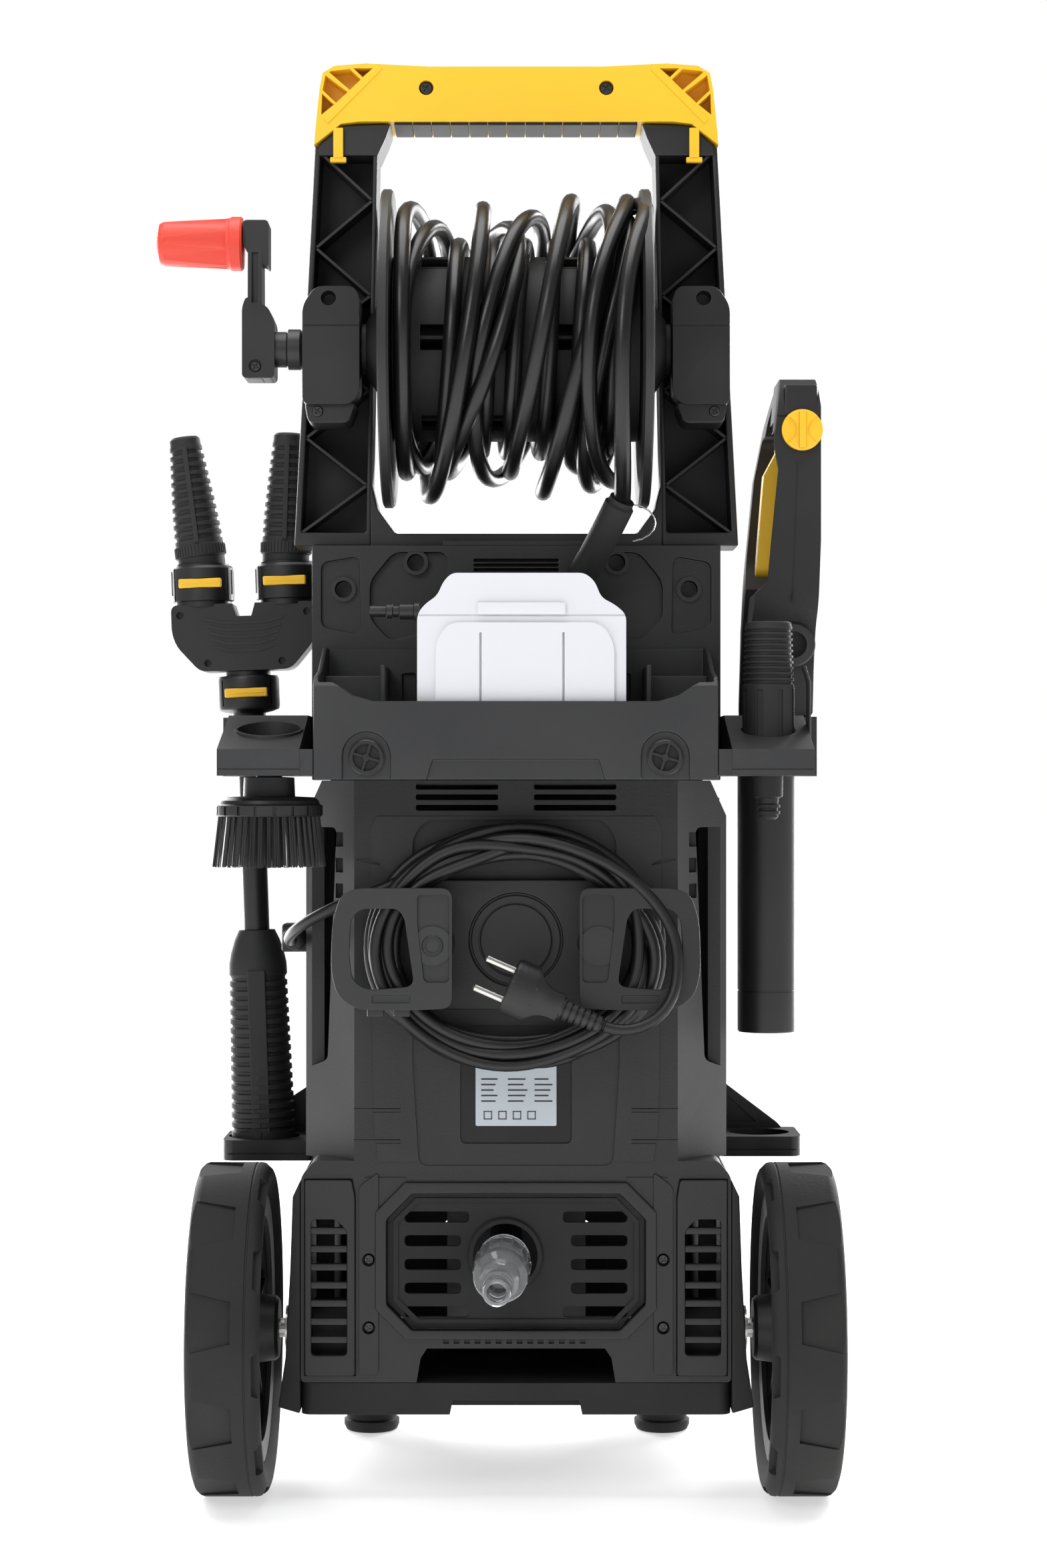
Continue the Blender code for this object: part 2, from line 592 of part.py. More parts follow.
def build_reel(root):
    axis = (0, REEL_Y, REEL_Z)
    half_h = HOUSING_H / 2
    for side, s in SIDES:
        housing = block((s * HOUSING_IN, s * HOUSING_OUT), (REEL_Y - 0.022, POST_BACK - GAP),
                        (REEL_Z - half_h, REEL_Z + half_h))
        bore = rod("X", axis, SHAFT_R + 0.001, -0.2, 0.2, 24)
        piece(f"bearing_{side}", housing, CHARCOAL, root, cuts=[bore])

    hub = empty("reel_hub", axis, root)

    def on_reel(bm):
        return moved(bm, Matrix.Translation(-Vector(axis)))

    bore = SHAFT_R + GAP + 0.0005
    piece("reel_shaft", on_reel(rod("X", axis, SHAFT_R, ARM_IN + GAP, HOUSING_OUT - 0.002, 24)), BLACK, hub)
    drum = [
        (bore, -DRUM_HALF), (bore + 0.006, -DRUM_HALF), (bore + 0.006, -0.002), (DRUM_R - 0.004, -0.002),
        (DRUM_R - 0.004, -DRUM_HALF), (DRUM_R, -DRUM_HALF), (DRUM_R, DRUM_HALF), (DRUM_R - 0.004, DRUM_HALF),
        (DRUM_R - 0.004, 0.002), (bore + 0.006, 0.002), (bore + 0.006, DRUM_HALF), (bore, DRUM_HALF),
    ]
    piece("reel_drum", on_reel(turned("X", axis, drum, 24)), BLACK, hub)
    near = DRUM_HALF + GAP
    for side, s in SIDES:
        disc = [
            (bore, near), (FLANGE_R, near), (FLANGE_R, near + FLANGE_T), (0.020, near + FLANGE_T),
            (0.017, HOUSING_IN - 0.0015), (bore, HOUSING_IN - 0.0015),
        ]
        disc = [(radius, s * along) for radius, along in disc]
        piece(f"flange_{side}", on_reel(turned("X", axis, disc)), BLACK, hub)
    wound = [
        (DRUM_R + GAP * 2, 0.002 - DRUM_HALF), (COIL_R - 0.006, 0.002 - DRUM_HALF),
        (COIL_R, 0.009 - DRUM_HALF), (COIL_R, DRUM_HALF - 0.009), (COIL_R - 0.006, DRUM_HALF - 0.002),
        (DRUM_R + GAP * 2, DRUM_HALF - 0.002),
    ]
    piece("hose_coil", on_reel(turned("X", axis, wound, 24)), BLACK, hub, roughness=0.6)

    pin_z = REEL_Z + CRANK_R
    outline = [
        (REEL_Y - 0.0125, REEL_Z - 0.020), (REEL_Y + 0.0125, REEL_Z - 0.020),
        (REEL_Y + 0.0125, pin_z + 0.006), (REEL_Y + 0.006, pin_z + 0.014),
        (REEL_Y - 0.006, pin_z + 0.014), (REEL_Y - 0.0125, pin_z + 0.006),
    ]
    arm = on_reel(prism("YZ", outline, ARM_OUT, ARM_IN))
    pin = on_reel(rod("X", (0, REEL_Y, pin_z), CRANK_PIN_R, CRANK_TIP + 0.021, ARM_OUT + 0.002))
    piece("crank_arm", arm, CHARCOAL, hub, adds=[pin])
    grip_hub = empty("crank_grip_hub", (0, 0, CRANK_R), hub)
    near, bore = ARM_OUT - GAP, CRANK_PIN_R + 0.0004
    grip = [
        (0.0, CRANK_TIP), (0.0115, CRANK_TIP), (0.0135, CRANK_TIP + 0.003), (0.0170, near), (bore, near),
        (bore, CRANK_TIP + 0.0205), (0.0, CRANK_TIP + 0.0205),
    ]
    piece("crank_grip", turned("X", (0, 0, 0), grip, 24), RED, grip_hub, roughness=0.4)


def build_gun(root):
    """The gun hangs in the right holder by its barrel. Its body is drawn from the side."""
    low, seat, top = GUN_Z
    hub = empty("gun_hub", (GUN_X, GUN_Y, seat), root)

    def on_gun(bm):
        return moved(bm, Matrix.Translation(-Vector((GUN_X, GUN_Y, seat))))

    tube = [
        (0.0, low + 0.030), (0.011, low + 0.030), (0.011, low), (GUN_R, low), (GUN_R, seat - GAP),
        (0.0, seat - GAP),
    ]
    piece("gun_barrel", on_gun(turned("Z", (GUN_X, GUN_Y, 0), tube, 24)), CHARCOAL, hub)
    outside = [
        (-0.022, seat), (0.022, seat), (0.030, 0.545), (0.055, 0.580), (0.055, top - 0.014), (0.045, top),
        (-0.035, top), (-0.045, top - 0.014), (-0.045, 0.560), (-0.028, 0.545),
    ]
    inside = [(-0.012, 0.572), (0.020, 0.572), (0.040, 0.590), (0.040, 0.672), (-0.012, 0.672)]
    wide = (GUN_X - 0.0089, GUN_X + 0.0311)
    middle = (wide[0] + wide[1]) / 2
    hinge_y, hinge_z = TRIGGER_HINGE
    body = on_gun(prism("YZ", outside, *wide))
    finger_gap = on_gun(prism("YZ", inside, wide[0] - 0.01, wide[1] + 0.01))
    slot = on_gun(block((middle - 0.0085, middle + 0.0085), (-0.036, -0.010), (0.574, 0.6705)))
    lug = on_gun(block((middle - 0.0085, middle + 0.0085), (-0.016, 0.016), (0.6690, 0.6780)))
    piece("gun_body", body, BLACK, hub, cuts=[finger_gap, slot, lug], roughness=0.6)
    lever = [
        (-0.006, 0.676), (0.008, 0.676), (0.010, 0.640), (0.004, 0.590), (-0.004, 0.578), (-0.010, 0.582),
        (-0.004, 0.630),
    ]
    trigger = moved(prism("YZ", lever, middle - 0.007, middle + 0.007),
                    Matrix.Translation(-Vector((GUN_X, hinge_y, hinge_z))))
    hinge = empty("trigger_hinge", (0, hinge_y - GUN_Y, hinge_z - seat), hub)
    piece("trigger", trigger, YELLOW, hinge, roughness=0.4)
    disc = rod("Y", (0, 0, 0), GUN_KNOB_R, -0.0050, -GAP, 24)
    fin = block((-0.002, 0.002), (-0.0075, -0.004), (-GUN_KNOB_R + 0.001, GUN_KNOB_R - 0.001))
    face = empty("gun_knob_axis", (KNOB_X - GUN_X, -0.045 - GUN_Y, GUN_KNOB_Z - seat), hub)
    piece("gun_knob", disc, YELLOW, face, adds=[fin], roughness=0.4)


def button_room(x, z):
    """The recess in a coupling of radius COUPLING_R for a release bar, deep enough for its travel."""
    wide, deep, high = BUTTON
    back = BUTTON_TRAVEL + GAP - COUPLING_R + deep
    half, tall = wide / 2 + GAP, high / 2 + GAP
    return block((x - half, x + half), (-0.03, back), (z - tall, z + tall))


def build_lance(root):
    """The lance stands in the left cradle and leans outwards a little. Its frame has Z along the lance."""
    hub = empty("lance_hub", LANCE_AT, root, turn=(0, -LANCE_LEAN, 0))
    grip = [
        (0.0, 0.0), (0.0195, 0.0), (0.0215, 0.003), (0.0215, 0.016), (0.0178, LANCE_GRIP_H - 0.016),
        (0.0120, LANCE_GRIP_H), (0.0, LANCE_GRIP_H),
    ]
    piece("lance_grip", turned("Z", (0, 0, 0), grip, 24), BLACK, hub, roughness=0.6)
    low, high = COUPLING_Z
    tube = [
        (0.0, LANCE_GRIP_H + GAP), (LANCE_R, LANCE_GRIP_H + GAP), (LANCE_R, low - 0.002), (COUPLING_R, low),
        (COUPLING_R, high), (0.0, high),
    ]
    low_z = (low + high) / 2
    piece("lance_tube", turned("Z", (0, 0, 0), tube, 24), CHARCOAL, hub, cuts=[button_room(0, low_z)])
    under, shoulder, rim = TWIN_Z
    half = TWIN_X + 0.0201
    outline = [
        (-0.0324, under), (0.0324, under), (half, shoulder - 0.016), (half, shoulder), (-half, shoulder),
        (-half, shoulder - 0.016),
    ]
    sockets = merged(*[rod("Z", (s * TWIN_X, 0, 0), COUPLING_R, shoulder - 0.002, rim, 24) for s in (-1, 1)])
    socket_z = (shoulder + rim) / 2
    rooms = merged(button_room(-TWIN_X, socket_z), button_room(TWIN_X, socket_z))
    piece("twin_body", prism("XZ", outline, -0.0165, 0.0165), CHARCOAL, hub, adds=[sockets], cuts=[rooms])
    spray = [
        (0.0, -0.004), (0.0165, -0.004), (0.0165, 0.018), (0.0155, 0.022), (0.0120, NOZZLE_H - 0.015),
        (0.0095, NOZZLE_H), (0.0, NOZZLE_H),
    ]
    for side, s in SIDES:
        tilt = math.radians(-6.0 if s < 0 else 3.4)
        place = Matrix.Translation((s * TWIN_X, 0, rim + GAP)) @ Matrix.Rotation(tilt, 4, "Y")
        below = block((s * TWIN_X - 0.03, s * TWIN_X + 0.03), (-0.03, 0.03), (rim - 0.02, rim + GAP))
        piece(f"nozzle_{side}", moved(turned("Z", (0, 0, 0), spray, 24), place), CHARCOAL, hub, cuts=[below])
    wide, deep, tall = BUTTON
    for name, x, z in (("left", -TWIN_X, socket_z), ("right", TWIN_X, socket_z), ("low", 0.0, low_z)):
        bar = block((-wide / 2, wide / 2), (0, deep), (-tall / 2, tall / 2))
        seat = empty(f"button_{name}_seat", (x, -COUPLING_R, z), hub)
        piece(f"button_{name}", bar, YELLOW, seat, roughness=0.4)


def build_nozzle_and_brush(root):
    low, high = FAN_Z
    rest = FAN_SEAT + GAP
    fan = [
        (0.0, low), (0.0070, low), (0.0070, low + 0.013), (0.0088, low + 0.014), (FAN_TIP_R, rest),
        (FAN_R, rest), (FAN_R, 0.505), (FAN_R - 0.002, high), (0.0, high),
    ]
    at = Vector((FAN_X, HOLE_Y, rest))
    hub = empty("fan_nozzle_seat", at, root)
    nozzle = moved(turned("Z", (FAN_X, HOLE_Y, 0), fan, 24), Matrix.Translation(-at))
    piece("fan_nozzle", nozzle, CHARCOAL, hub)
    tips, under, cap = BRUSH_Z
    head = [
        (0.0, tips), (BRUSH_R + 0.002, tips), (BRUSH_R - 0.002, under), (BRUSH_R, under),
        (BRUSH_R, cap - 0.002), (BRUSH_R - 0.004, cap), (NECK_R, cap + 0.004), (NECK_R, HOLDER_Z + 0.0095),
        (0.0, HOLDER_Z + 0.0095),
    ]
    at = Vector((BRUSH_X, HOLE_Y, under))
    spindle = empty("brush_spindle", at, root)
    brush = moved(turned("Z", (BRUSH_X, HOLE_Y, 0), head, 24), Matrix.Translation(-at))
    piece("brush_head", brush, BLACK, spindle)


def bottle_outline(wall):
    left, right = BOTTLE_X
    floor = SHELL_TOP + WALL + GAP * 2
    top = BOTTLE_TOP
    return [
        (left + wall, floor + wall), (right - wall, floor + wall), (right - wall, top - 0.028),
        (right - 0.022, top - wall), (left + 0.022, top - wall), (left + wall, top - 0.028),
    ]


def build_bottle(root):
    """A blown bottle that is stored neck down in the tray."""
    back, front = BOTTLE_Y
    middle = (sum(BOTTLE_X) / 2, (back + front) / 2)
    floor = SHELL_TOP + WALL + GAP * 2
    body = prism("XZ", bottle_outline(0.0), back, front)
    hollow = prism("XZ", bottle_outline(BOTTLE_WALL), back + BOTTLE_WALL, front - BOTTLE_WALL)
    neck = rod("Z", (*middle, 0), 0.014, floor - 0.01, floor + BOTTLE_WALL + 0.001)
    piece("bottle", body, WHITE, root, origin=(*middle, floor), cuts=[hollow, neck], roughness=0.35)


def build_hooks(root):
    near, far = HOOK_X
    for side, s in SIDES:
        plate = prism("XZ", [
            (s * near, HOOK_Z[0]), (s * (far - 0.012), HOOK_Z[0]), (s * far, HOOK_Z[0] + 0.016),
            (s * far, HOOK_Z[1] - 0.016), (s * (far - 0.012), HOOK_Z[1]), (s * near, HOOK_Z[1]),
        ], HOOK_Y, HOOK_Y + HOOK_T)
        window = block((s * (near + 0.021), s * (far - 0.013)), (HOOK_Y - 0.01, HOOK_Y + 0.02),
                       (HOOK_Z[0] + 0.014, HOOK_Z[1] - 0.014))
        pivot = (s * abs(HOOK_PIVOT[0]), HOOK_Y, HOOK_PIVOT[1])
        arm = rod("Y", pivot, 0.012, HOOK_Y + 0.001, REAR_Y - GAP)
        piece(f"hook_{side}", plate, CHARCOAL, root, origin=pivot, adds=[arm], cuts=[window])


def smooth_route(points, step):
    """Points about a step apart along a Catmull-Rom curve through the given ones."""
    ends = [Vector(point) for point in points]
    ends = [ends[0] * 2 - ends[1], *ends, ends[-1] * 2 - ends[-2]]
    fine = [ends[1]]
    for a, b, c, d in zip(ends, ends[1:], ends[2:], ends[3:]):
        for number in range(1, 17):
            t = number / 16
            fine.append(0.5 * (b * 2 + (c - a) * t + (a * 2 - b * 5 + c * 4 - d) * t**2
                               + (b * 3 - a - c * 3 + d) * t**3))
    length = sum((b - a).length for a, b in zip(fine, fine[1:]))
    count = max(2, round(length / step))
    route, walked, wanted = [fine[0]], 0.0, length / count
    for a, b in zip(fine, fine[1:]):
        while walked + (b - a).length >= wanted and len(route) < count:
            route.append(a.lerp(b, (wanted - walked) / (b - a).length))
            wanted += length / count
        walked += (b - a).length
    return route + [fine[-1]]


def tube(name, points, diameter, parent):
    curve = bpy.data.curves.new(name, "CURVE")
    curve.dimensions = "3D"
    curve.bevel_depth = diameter / 2
    curve.bevel_resolution = 2
    curve.use_fill_caps = True
    route = smooth_route(points, diameter * 2)
    spline = curve.splines.new("POLY")
    spline.points.add(len(route) - 1)
    for point, place in zip(spline.points, route):
        point.co = (*place, 1.0)
    obj = bpy.data.objects.new(name, curve)
    bpy.context.collection.objects.link(obj)
    obj.parent = parent
    paint(obj, BLACK, 0.6)


def build_cords(root):
    """The mains cord is wound round the hooks; its plug end is tucked in front of the coil."""
    band, deep = COIL_BAND
    middle = (COIL_SIZE[0] + COIL_SIZE[1]) / 2
    ring = turned("Y", (0, 0, 0), [
        (middle - band / 2, -deep / 2 + 0.005), (middle - band / 2 + 0.005, -deep / 2),
        (middle + band / 2 - 0.005, -deep / 2), (middle + band / 2, -deep / 2 + 0.005),
        (middle + band / 2, deep / 2 - 0.005), (middle + band / 2 - 0.005, deep / 2),
        (middle - band / 2 + 0.005, deep / 2), (middle - band / 2, deep / 2 - 0.005),
    ])
    oval = Matrix.Diagonal((COIL_SIZE[0] / middle, 1.0, COIL_SIZE[1] / middle, 1.0))
    piece("cord_coil", moved(ring, Matrix.Translation(COIL_AT) @ oval), BLACK, root, roughness=0.6)
    tube("cord_lead", LEAD_ROUTE, CORD_D, root)
    tube("cord_tail", TAIL_ROUTE, CORD_D, root)
    tube("hose_end", SLEEVE_ROUTE, SLEEVE_D, root)

    exit_x, exit_y, exit_z = LEAD_ROUTE[0]
    gland = block((exit_x - 0.0085, -BODY_HALF - GAP), (exit_y + 0.026, exit_y + 0.048),
                  (exit_z - 0.009, exit_z + 0.009))
    relief = rod("Y", (exit_x, 0, exit_z), 0.0052, exit_y + GAP, exit_y + 0.027, 12, 0.0075)
    piece("cord_gland", gland, BLACK, root, adds=[relief])

    flat = Matrix.Diagonal((1.0, 0.72, 1.0, 1.0))
    body = moved(rod("X", (0, 0, 0), 0.0175, 0.019, 0.040, 24), flat)
    taper = moved(rod("X", (0, 0, 0), 0.0172, 0.039, 0.053, 24, 0.0085), flat)
    relief = rod("X", (0, 0, 0), 0.0068, 0.050, 0.0811, 16, 0.0045)
    pins = merged(*[rod("X", (0, 0, z), 0.0024, 0.0, 0.021, 12) for z in (-0.0095, 0.0095)])
    plug = piece("plug", body, BLACK, root, adds=[taper, relief, pins])
    plug.location = PLUG_AT
    plug.rotation_euler = Euler((0, PLUG_DROP, 0))
    for modifier in plug.modifiers:
        modifier.object.location = PLUG_AT
        modifier.object.rotation_euler = plug.rotation_euler


def build_connector(root):
    """The clear hose connector on the inlet, which droops a little."""
    profile = [
        (0.0125, 0.0), (0.0125, 0.012), (0.0165, 0.014), (0.0165, 0.047), (0.0120, 0.050), (0.0120, 0.058),
        (0.0085, 0.062), (0.0085, 0.080), (0.0065, 0.080), (0.0065, 0.0),
    ]
    droop = Matrix.Rotation(math.radians(-8.5), 4, "X") @ Matrix.Rotation(math.radians(3.5), 4, "Z")
    bm = turned("Y", (0, 0, 0), [(radius, -along) for radius, along in profile], 24)
    bm = moved(bm, Matrix.Translation(INLET_AT) @ droop.inverted())
    piece("inlet_connector", bm, CLEAR, root, roughness=0.1)


def centre_on_floor(root):
    """Moves the root so that the object without its cords is centred on the world's Z axis."""
    bpy.context.view_layer.update()
    graph = bpy.context.evaluated_depsgraph_get()
    reach = []
    for obj in bpy.context.view_layer.objects:
        if obj.type == "MESH" and not obj.hide_render and obj.name not in ON_CORD:
            solid = obj.evaluated_get(graph)
            reach += [solid.matrix_world @ vertex.co for vertex in solid.data.vertices]
    for number in (0, 1):
        along = [point[number] for point in reach]
        root.location[number] -= (min(along) + max(along)) / 2


def main():
    for obj in list(bpy.data.objects):
        bpy.data.objects.remove(obj, do_unlink=True)
    root = empty("machine", (0, 0, 0))
    for side, s in SIDES:
        build_wheel(root, side, s)
    build_undercarriage(root)
    build_casing(root)
    build_inside(root)
    build_tray(root)
    build_holders(root)
    build_handle(root)
    build_reel(root)
    build_gun(root)
    build_lance(root)
    build_nozzle_and_brush(root)
    build_bottle(root)
    build_hooks(root)
    build_cords(root)
    build_connector(root)
    centre_on_floor(root)


main()
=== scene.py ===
"""Upright pressure washer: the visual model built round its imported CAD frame.

Lengths are in metres. A shape is drawn in the machine's own frame, where X is measured from the mid-plane, the rear
faces -Y and the floor is at 0, and settle() moves it to the frame's place.
"""

import math

import bmesh
import bpy
import numpy as np
from bpy.props import FloatProperty, FloatVectorProperty, IntProperty, PointerProperty
from mathutils import Matrix, Vector, noise


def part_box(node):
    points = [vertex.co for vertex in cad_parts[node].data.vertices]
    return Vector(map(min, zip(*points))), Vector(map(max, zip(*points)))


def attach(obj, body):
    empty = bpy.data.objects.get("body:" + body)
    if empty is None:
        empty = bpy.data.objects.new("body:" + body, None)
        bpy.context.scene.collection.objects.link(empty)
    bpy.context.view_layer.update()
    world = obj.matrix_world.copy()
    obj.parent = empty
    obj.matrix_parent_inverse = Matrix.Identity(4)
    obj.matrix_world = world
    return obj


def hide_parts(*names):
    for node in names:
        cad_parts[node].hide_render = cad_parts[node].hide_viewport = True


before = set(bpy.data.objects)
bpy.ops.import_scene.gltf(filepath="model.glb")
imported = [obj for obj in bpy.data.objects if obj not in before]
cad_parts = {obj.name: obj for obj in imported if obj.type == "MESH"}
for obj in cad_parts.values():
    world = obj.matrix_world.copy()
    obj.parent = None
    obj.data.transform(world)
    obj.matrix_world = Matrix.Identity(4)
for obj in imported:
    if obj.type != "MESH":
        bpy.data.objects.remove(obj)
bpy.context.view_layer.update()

bl_info = {"name": "Pressure washer", "version": (1, 0, 0), "blender": (4, 5, 0),
    "location": "View3D > Sidebar > Washer",
    "description": "Builds an upright pressure washer piece by piece round its CAD frame", "category": "Add Mesh",}

SIDES = (("left", -1), ("right", 1))
MID_X = (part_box("post_left")[0][0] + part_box("post_right")[1][0]) / 2
WALL = 0.003


def span(node):
    """(low corner, high corner) of a CAD node in the machine's own frame."""
    low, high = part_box(node)
    shift = Vector((MID_X, 0, 0))
    return Vector(low) - shift, Vector(high) - shift


def centre_of(node):
    low, high = span(node)
    return (low + high) / 2


# Properties


class WasherSizes(bpy.types.PropertyGroup):
    hose_diameter: FloatProperty(name="Hose diameter", description="Outer diameter of the pressure hose",
        default=0.0105, unit="LENGTH")
    sleeve_diameter: FloatProperty(name="Sleeve diameter", description="Outer diameter of the hose's end sleeve",
        default=0.019, unit="LENGTH")
    cord_diameter: FloatProperty(name="Cord diameter", description="Outer diameter of the mains cord", default=0.007,
        unit="LENGTH")
    cord_turns: IntProperty(name="Cord turns", description="Turns of mains cord round the hooks", default=11, min=4,
        max=14)
    edge: FloatProperty(name="Edge rounding", description="Radius of the mouldings' edges", default=0.0012,
        unit="LENGTH")
    tread_pockets: IntProperty(name="Tread pockets", description="Pockets round each side of a tyre", default=20,
        min=6, max=40)
    nozzle_ribs: IntProperty(name="Nozzle ribs", description="Rings on each spray nozzle", default=11, min=3, max=24)
    bristle_rings: IntProperty(name="Bristle rings", description="Rings of tufts on the brush", default=4, min=2,
        max=6)


class WasherColours(bpy.types.PropertyGroup):
    black: FloatVectorProperty(name="Casing", description="Dark moulded plastic", default=(0.0078, 0.008, 0.0086),
        subtype="COLOR")
    # deep: the real dark rubber of tyres, cord and hose, and painted shade, a darker tone for inner, recessed and
    # underside mouldings.
    deep: FloatVectorProperty(name="Dark rubber and painted shade", description="Inner and shaded mouldings", default=(0.0036, 0.0036,
        0.0039), subtype="COLOR")
    grey: FloatVectorProperty(name="Tray", description="Lighter moulded plastic", default=(0.0165, 0.017, 0.0185),
        subtype="COLOR")
    yellow: FloatVectorProperty(name="Yellow", description="Grip, knobs and release bars", default=(0.95, 0.56, 0.02),
        subtype="COLOR")
    red: FloatVectorProperty(name="Crank grip", description="Crank grip", default=(0.76, 0.055, 0.028),
        subtype="COLOR")
    bottle: FloatVectorProperty(name="Bottle", description="Milky bottle plastic", default=(0.74, 0.75, 0.79),
        subtype="COLOR")
    label: FloatVectorProperty(name="Label", description="Blank rating plate", default=(0.5, 0.55, 0.6),
        subtype="COLOR")


# Shapes


def block(x, y, z, edge=0.0, segments=2):
    """A box between the given (low, high) pairs, with rounded edges."""
    low = Vector((min(x), min(y), min(z)))
    size = Vector((max(x), max(y), max(z))) - low
    bm = bmesh.new()
    bmesh.ops.create_cube(bm, size=1.0, matrix=Matrix.Translation(low + size / 2) @ Matrix.Diagonal((*size, 1.0)))
    return rounded(bm, edge, segments)


def rounded(bm, edge, segments=2, angle=30.0):
    """bm with every edge sharper than angle rounded."""
    if edge > 0.0:
        bm.normal_update()
        sharp = [e for e in bm.edges if e.is_manifold and e.calc_face_angle(0.0) > math.radians(angle)]
        bmesh.ops.bevel(bm, geom=sharp, offset=edge, offset_type="OFFSET", affect="EDGES", segments=segments,
            profile=0.5, material=-1, clamp_overlap=True)
    return bm


def axis_turn(axis):
    """The rotation that takes Z to the named axis."""
    return {"X": Matrix.Rotation(math.pi / 2, 4, "Y"), "Y": Matrix.Rotation(-math.pi / 2, 4, "X"),
        "Z": Matrix.Identity(4),}[axis]


def rod(axis, centre, radius, low, high, turns=32, end_radius=None, edge=0.0):
    """A cylinder or cone along the axis, from low to high."""
    middle = Vector(centre)
    middle["XYZ".index(axis)] = (low + high) / 2
    bm = bmesh.new()
    bmesh.ops.create_cone(bm, cap_ends=True, segments=turns, radius1=radius, radius2=radius if end_radius is None
        else end_radius, depth=high - low, matrix=Matrix.Translation(middle) @ axis_turn(axis))
    return rounded(bm, edge, 2, 60.0)


def turned(axis, centre, profile, turns=48):
    """A profile of (radius, height) points turned about the axis through centre."""
    bm = bmesh.new()
    points = [bm.verts.new((radius, 0.0, height)) for radius, height in profile]
    edges = [bm.edges.new((a, b)) for a, b in zip(points, points[1:])]
    if profile[0][0] > 0.0:
        edges.append(bm.edges.new((points[-1], points[0])))
    bmesh.ops.spin(bm, geom=points + edges, axis=(0, 0, 1), cent=(0, 0, 0), angle=math.tau, steps=turns,
        use_merge=True)
    bmesh.ops.remove_doubles(bm, verts=bm.verts, dist=1e-6)
    bmesh.ops.transform(bm, verts=bm.verts, matrix=Matrix.Translation(centre) @ axis_turn(axis))
    bmesh.ops.recalc_face_normals(bm, faces=bm.faces)
    return bm


def prism(plane, outline, low, high, edge=0.0, segments=2):
    """An outline in the named plane, such as XZ, drawn out along the third axis from low to high."""
    first, second = ("XYZ".index(letter) for letter in plane)
    third = 3 - first - second
    bm = bmesh.new()
    corners = []
    for a, b in outline:
        place = [0.0, 0.0, 0.0]
        place[first], place[second], place[third] = a, b, low
        corners.append(bm.verts.new(place))
    face = bm.faces.new(corners)
    grown = bmesh.ops.extrude_face_region(bm, geom=[face])["geom"]
    along = Vector((0.0, 0.0, 0.0))
    along[third] = high - low
    bmesh.ops.translate(bm, verts=[v for v in grown if isinstance(v, bmesh.types.BMVert)], vec=along)
    bmesh.ops.recalc_face_normals(bm, faces=bm.faces)
    return rounded(bm, edge, segments)


def mirrored(outline):
    """An outline's right half, listed bottom to top, closed with its mirror image."""
    return list(outline) + [(-x, z) for x, z in reversed(outline)]


def rounded_outline(points, radius, steps=5):
    """A closed outline whose corners are arcs of about the given radius."""
    smooth = []
    for before, corner, after in zip(points[-1:] + points[:-1], points, points[1:] + points[:1]):
        corner, before, after = Vector(corner), Vector(before), Vector(after)
        into, out = (before - corner), (after - corner)
        reach = min(radius, into.length * 0.48, out.length * 0.48)
        start, end = corner + into.normalized() * reach, corner + out.normalized() * reach
        for number in range(steps + 1):
            t = number / steps
            smooth.append(tuple(start * (1 - t) ** 2 + corner * (2 * t * (1 - t)) + end * t**2))
    return smooth


def soft_plate(points, radius, low, high, edge=0.0, segments=2):
    """An XZ outline with rounded corners, drawn out along Y from low to high."""
    return prism("XZ", rounded_outline(points, radius), low, high, edge, segments)


def moved(bm, matrix):
    bmesh.ops.transform(bm, verts=bm.verts, matrix=matrix)
    return bm


def shifted(bm, vector):
    return moved(bm, Matrix.Translation(vector))


def together(*shapes):
    """One bmesh that holds all the shapes."""
    whole = shapes[0]
    for shape in shapes[1:]:
        spare = bpy.data.meshes.new("spare")
        shape.to_mesh(spare)
        whole.from_mesh(spare)
        shape.free()
        bpy.data.meshes.remove(spare)
    return whole


def held(bm):
    """A helper object that holds bm for a Boolean."""
    mesh = bpy.data.meshes.new("helper")
    bm.to_mesh(mesh)
    bm.free()
    obj = bpy.data.objects.new("helper", mesh)
    bpy.context.collection.objects.link(obj)
    return obj


def carved(bm, cuts=(), adds=(), edge=0.0, angle=35.0):
    """bm with adds joined to it and cuts taken from it, and the edges then rounded."""
    base = held(bm)
    helpers = [base]
    for kind, shapes in (("UNION", adds), ("DIFFERENCE", cuts)):
        for shape in shapes:
            tool = held(shape)
            helpers.append(tool)
            boolean = base.modifiers.new("carve", "BOOLEAN")
            boolean.operation = kind
            boolean.solver = "EXACT"
            boolean.object = tool
    if edge > 0.0:
        bevel = base.modifiers.new("edges", "BEVEL")
        bevel.width = edge
        bevel.segments = 2
        bevel.limit_method = "ANGLE"
        bevel.angle_limit = math.radians(angle)
        bevel.use_clamp_overlap = True
        bevel.miter_outer = "MITER_ARC"
    mesh = bpy.data.meshes.new_from_object(base.evaluated_get(bpy.context.evaluated_depsgraph_get()))
    result = bmesh.new()
    result.from_mesh(mesh)
    bpy.data.meshes.remove(mesh)
    for helper in helpers:
        spare = helper.data
        bpy.data.objects.remove(helper)
        bpy.data.meshes.remove(spare)
    return result


SLOTS = {"casing": "black_plastic", "tray": "grey_plastic", "yellow": "yellow_plastic", "red": "red_plastic",
    "clear": "clear_plastic", "bottle": "bottle_plastic", "steel": "steel"}


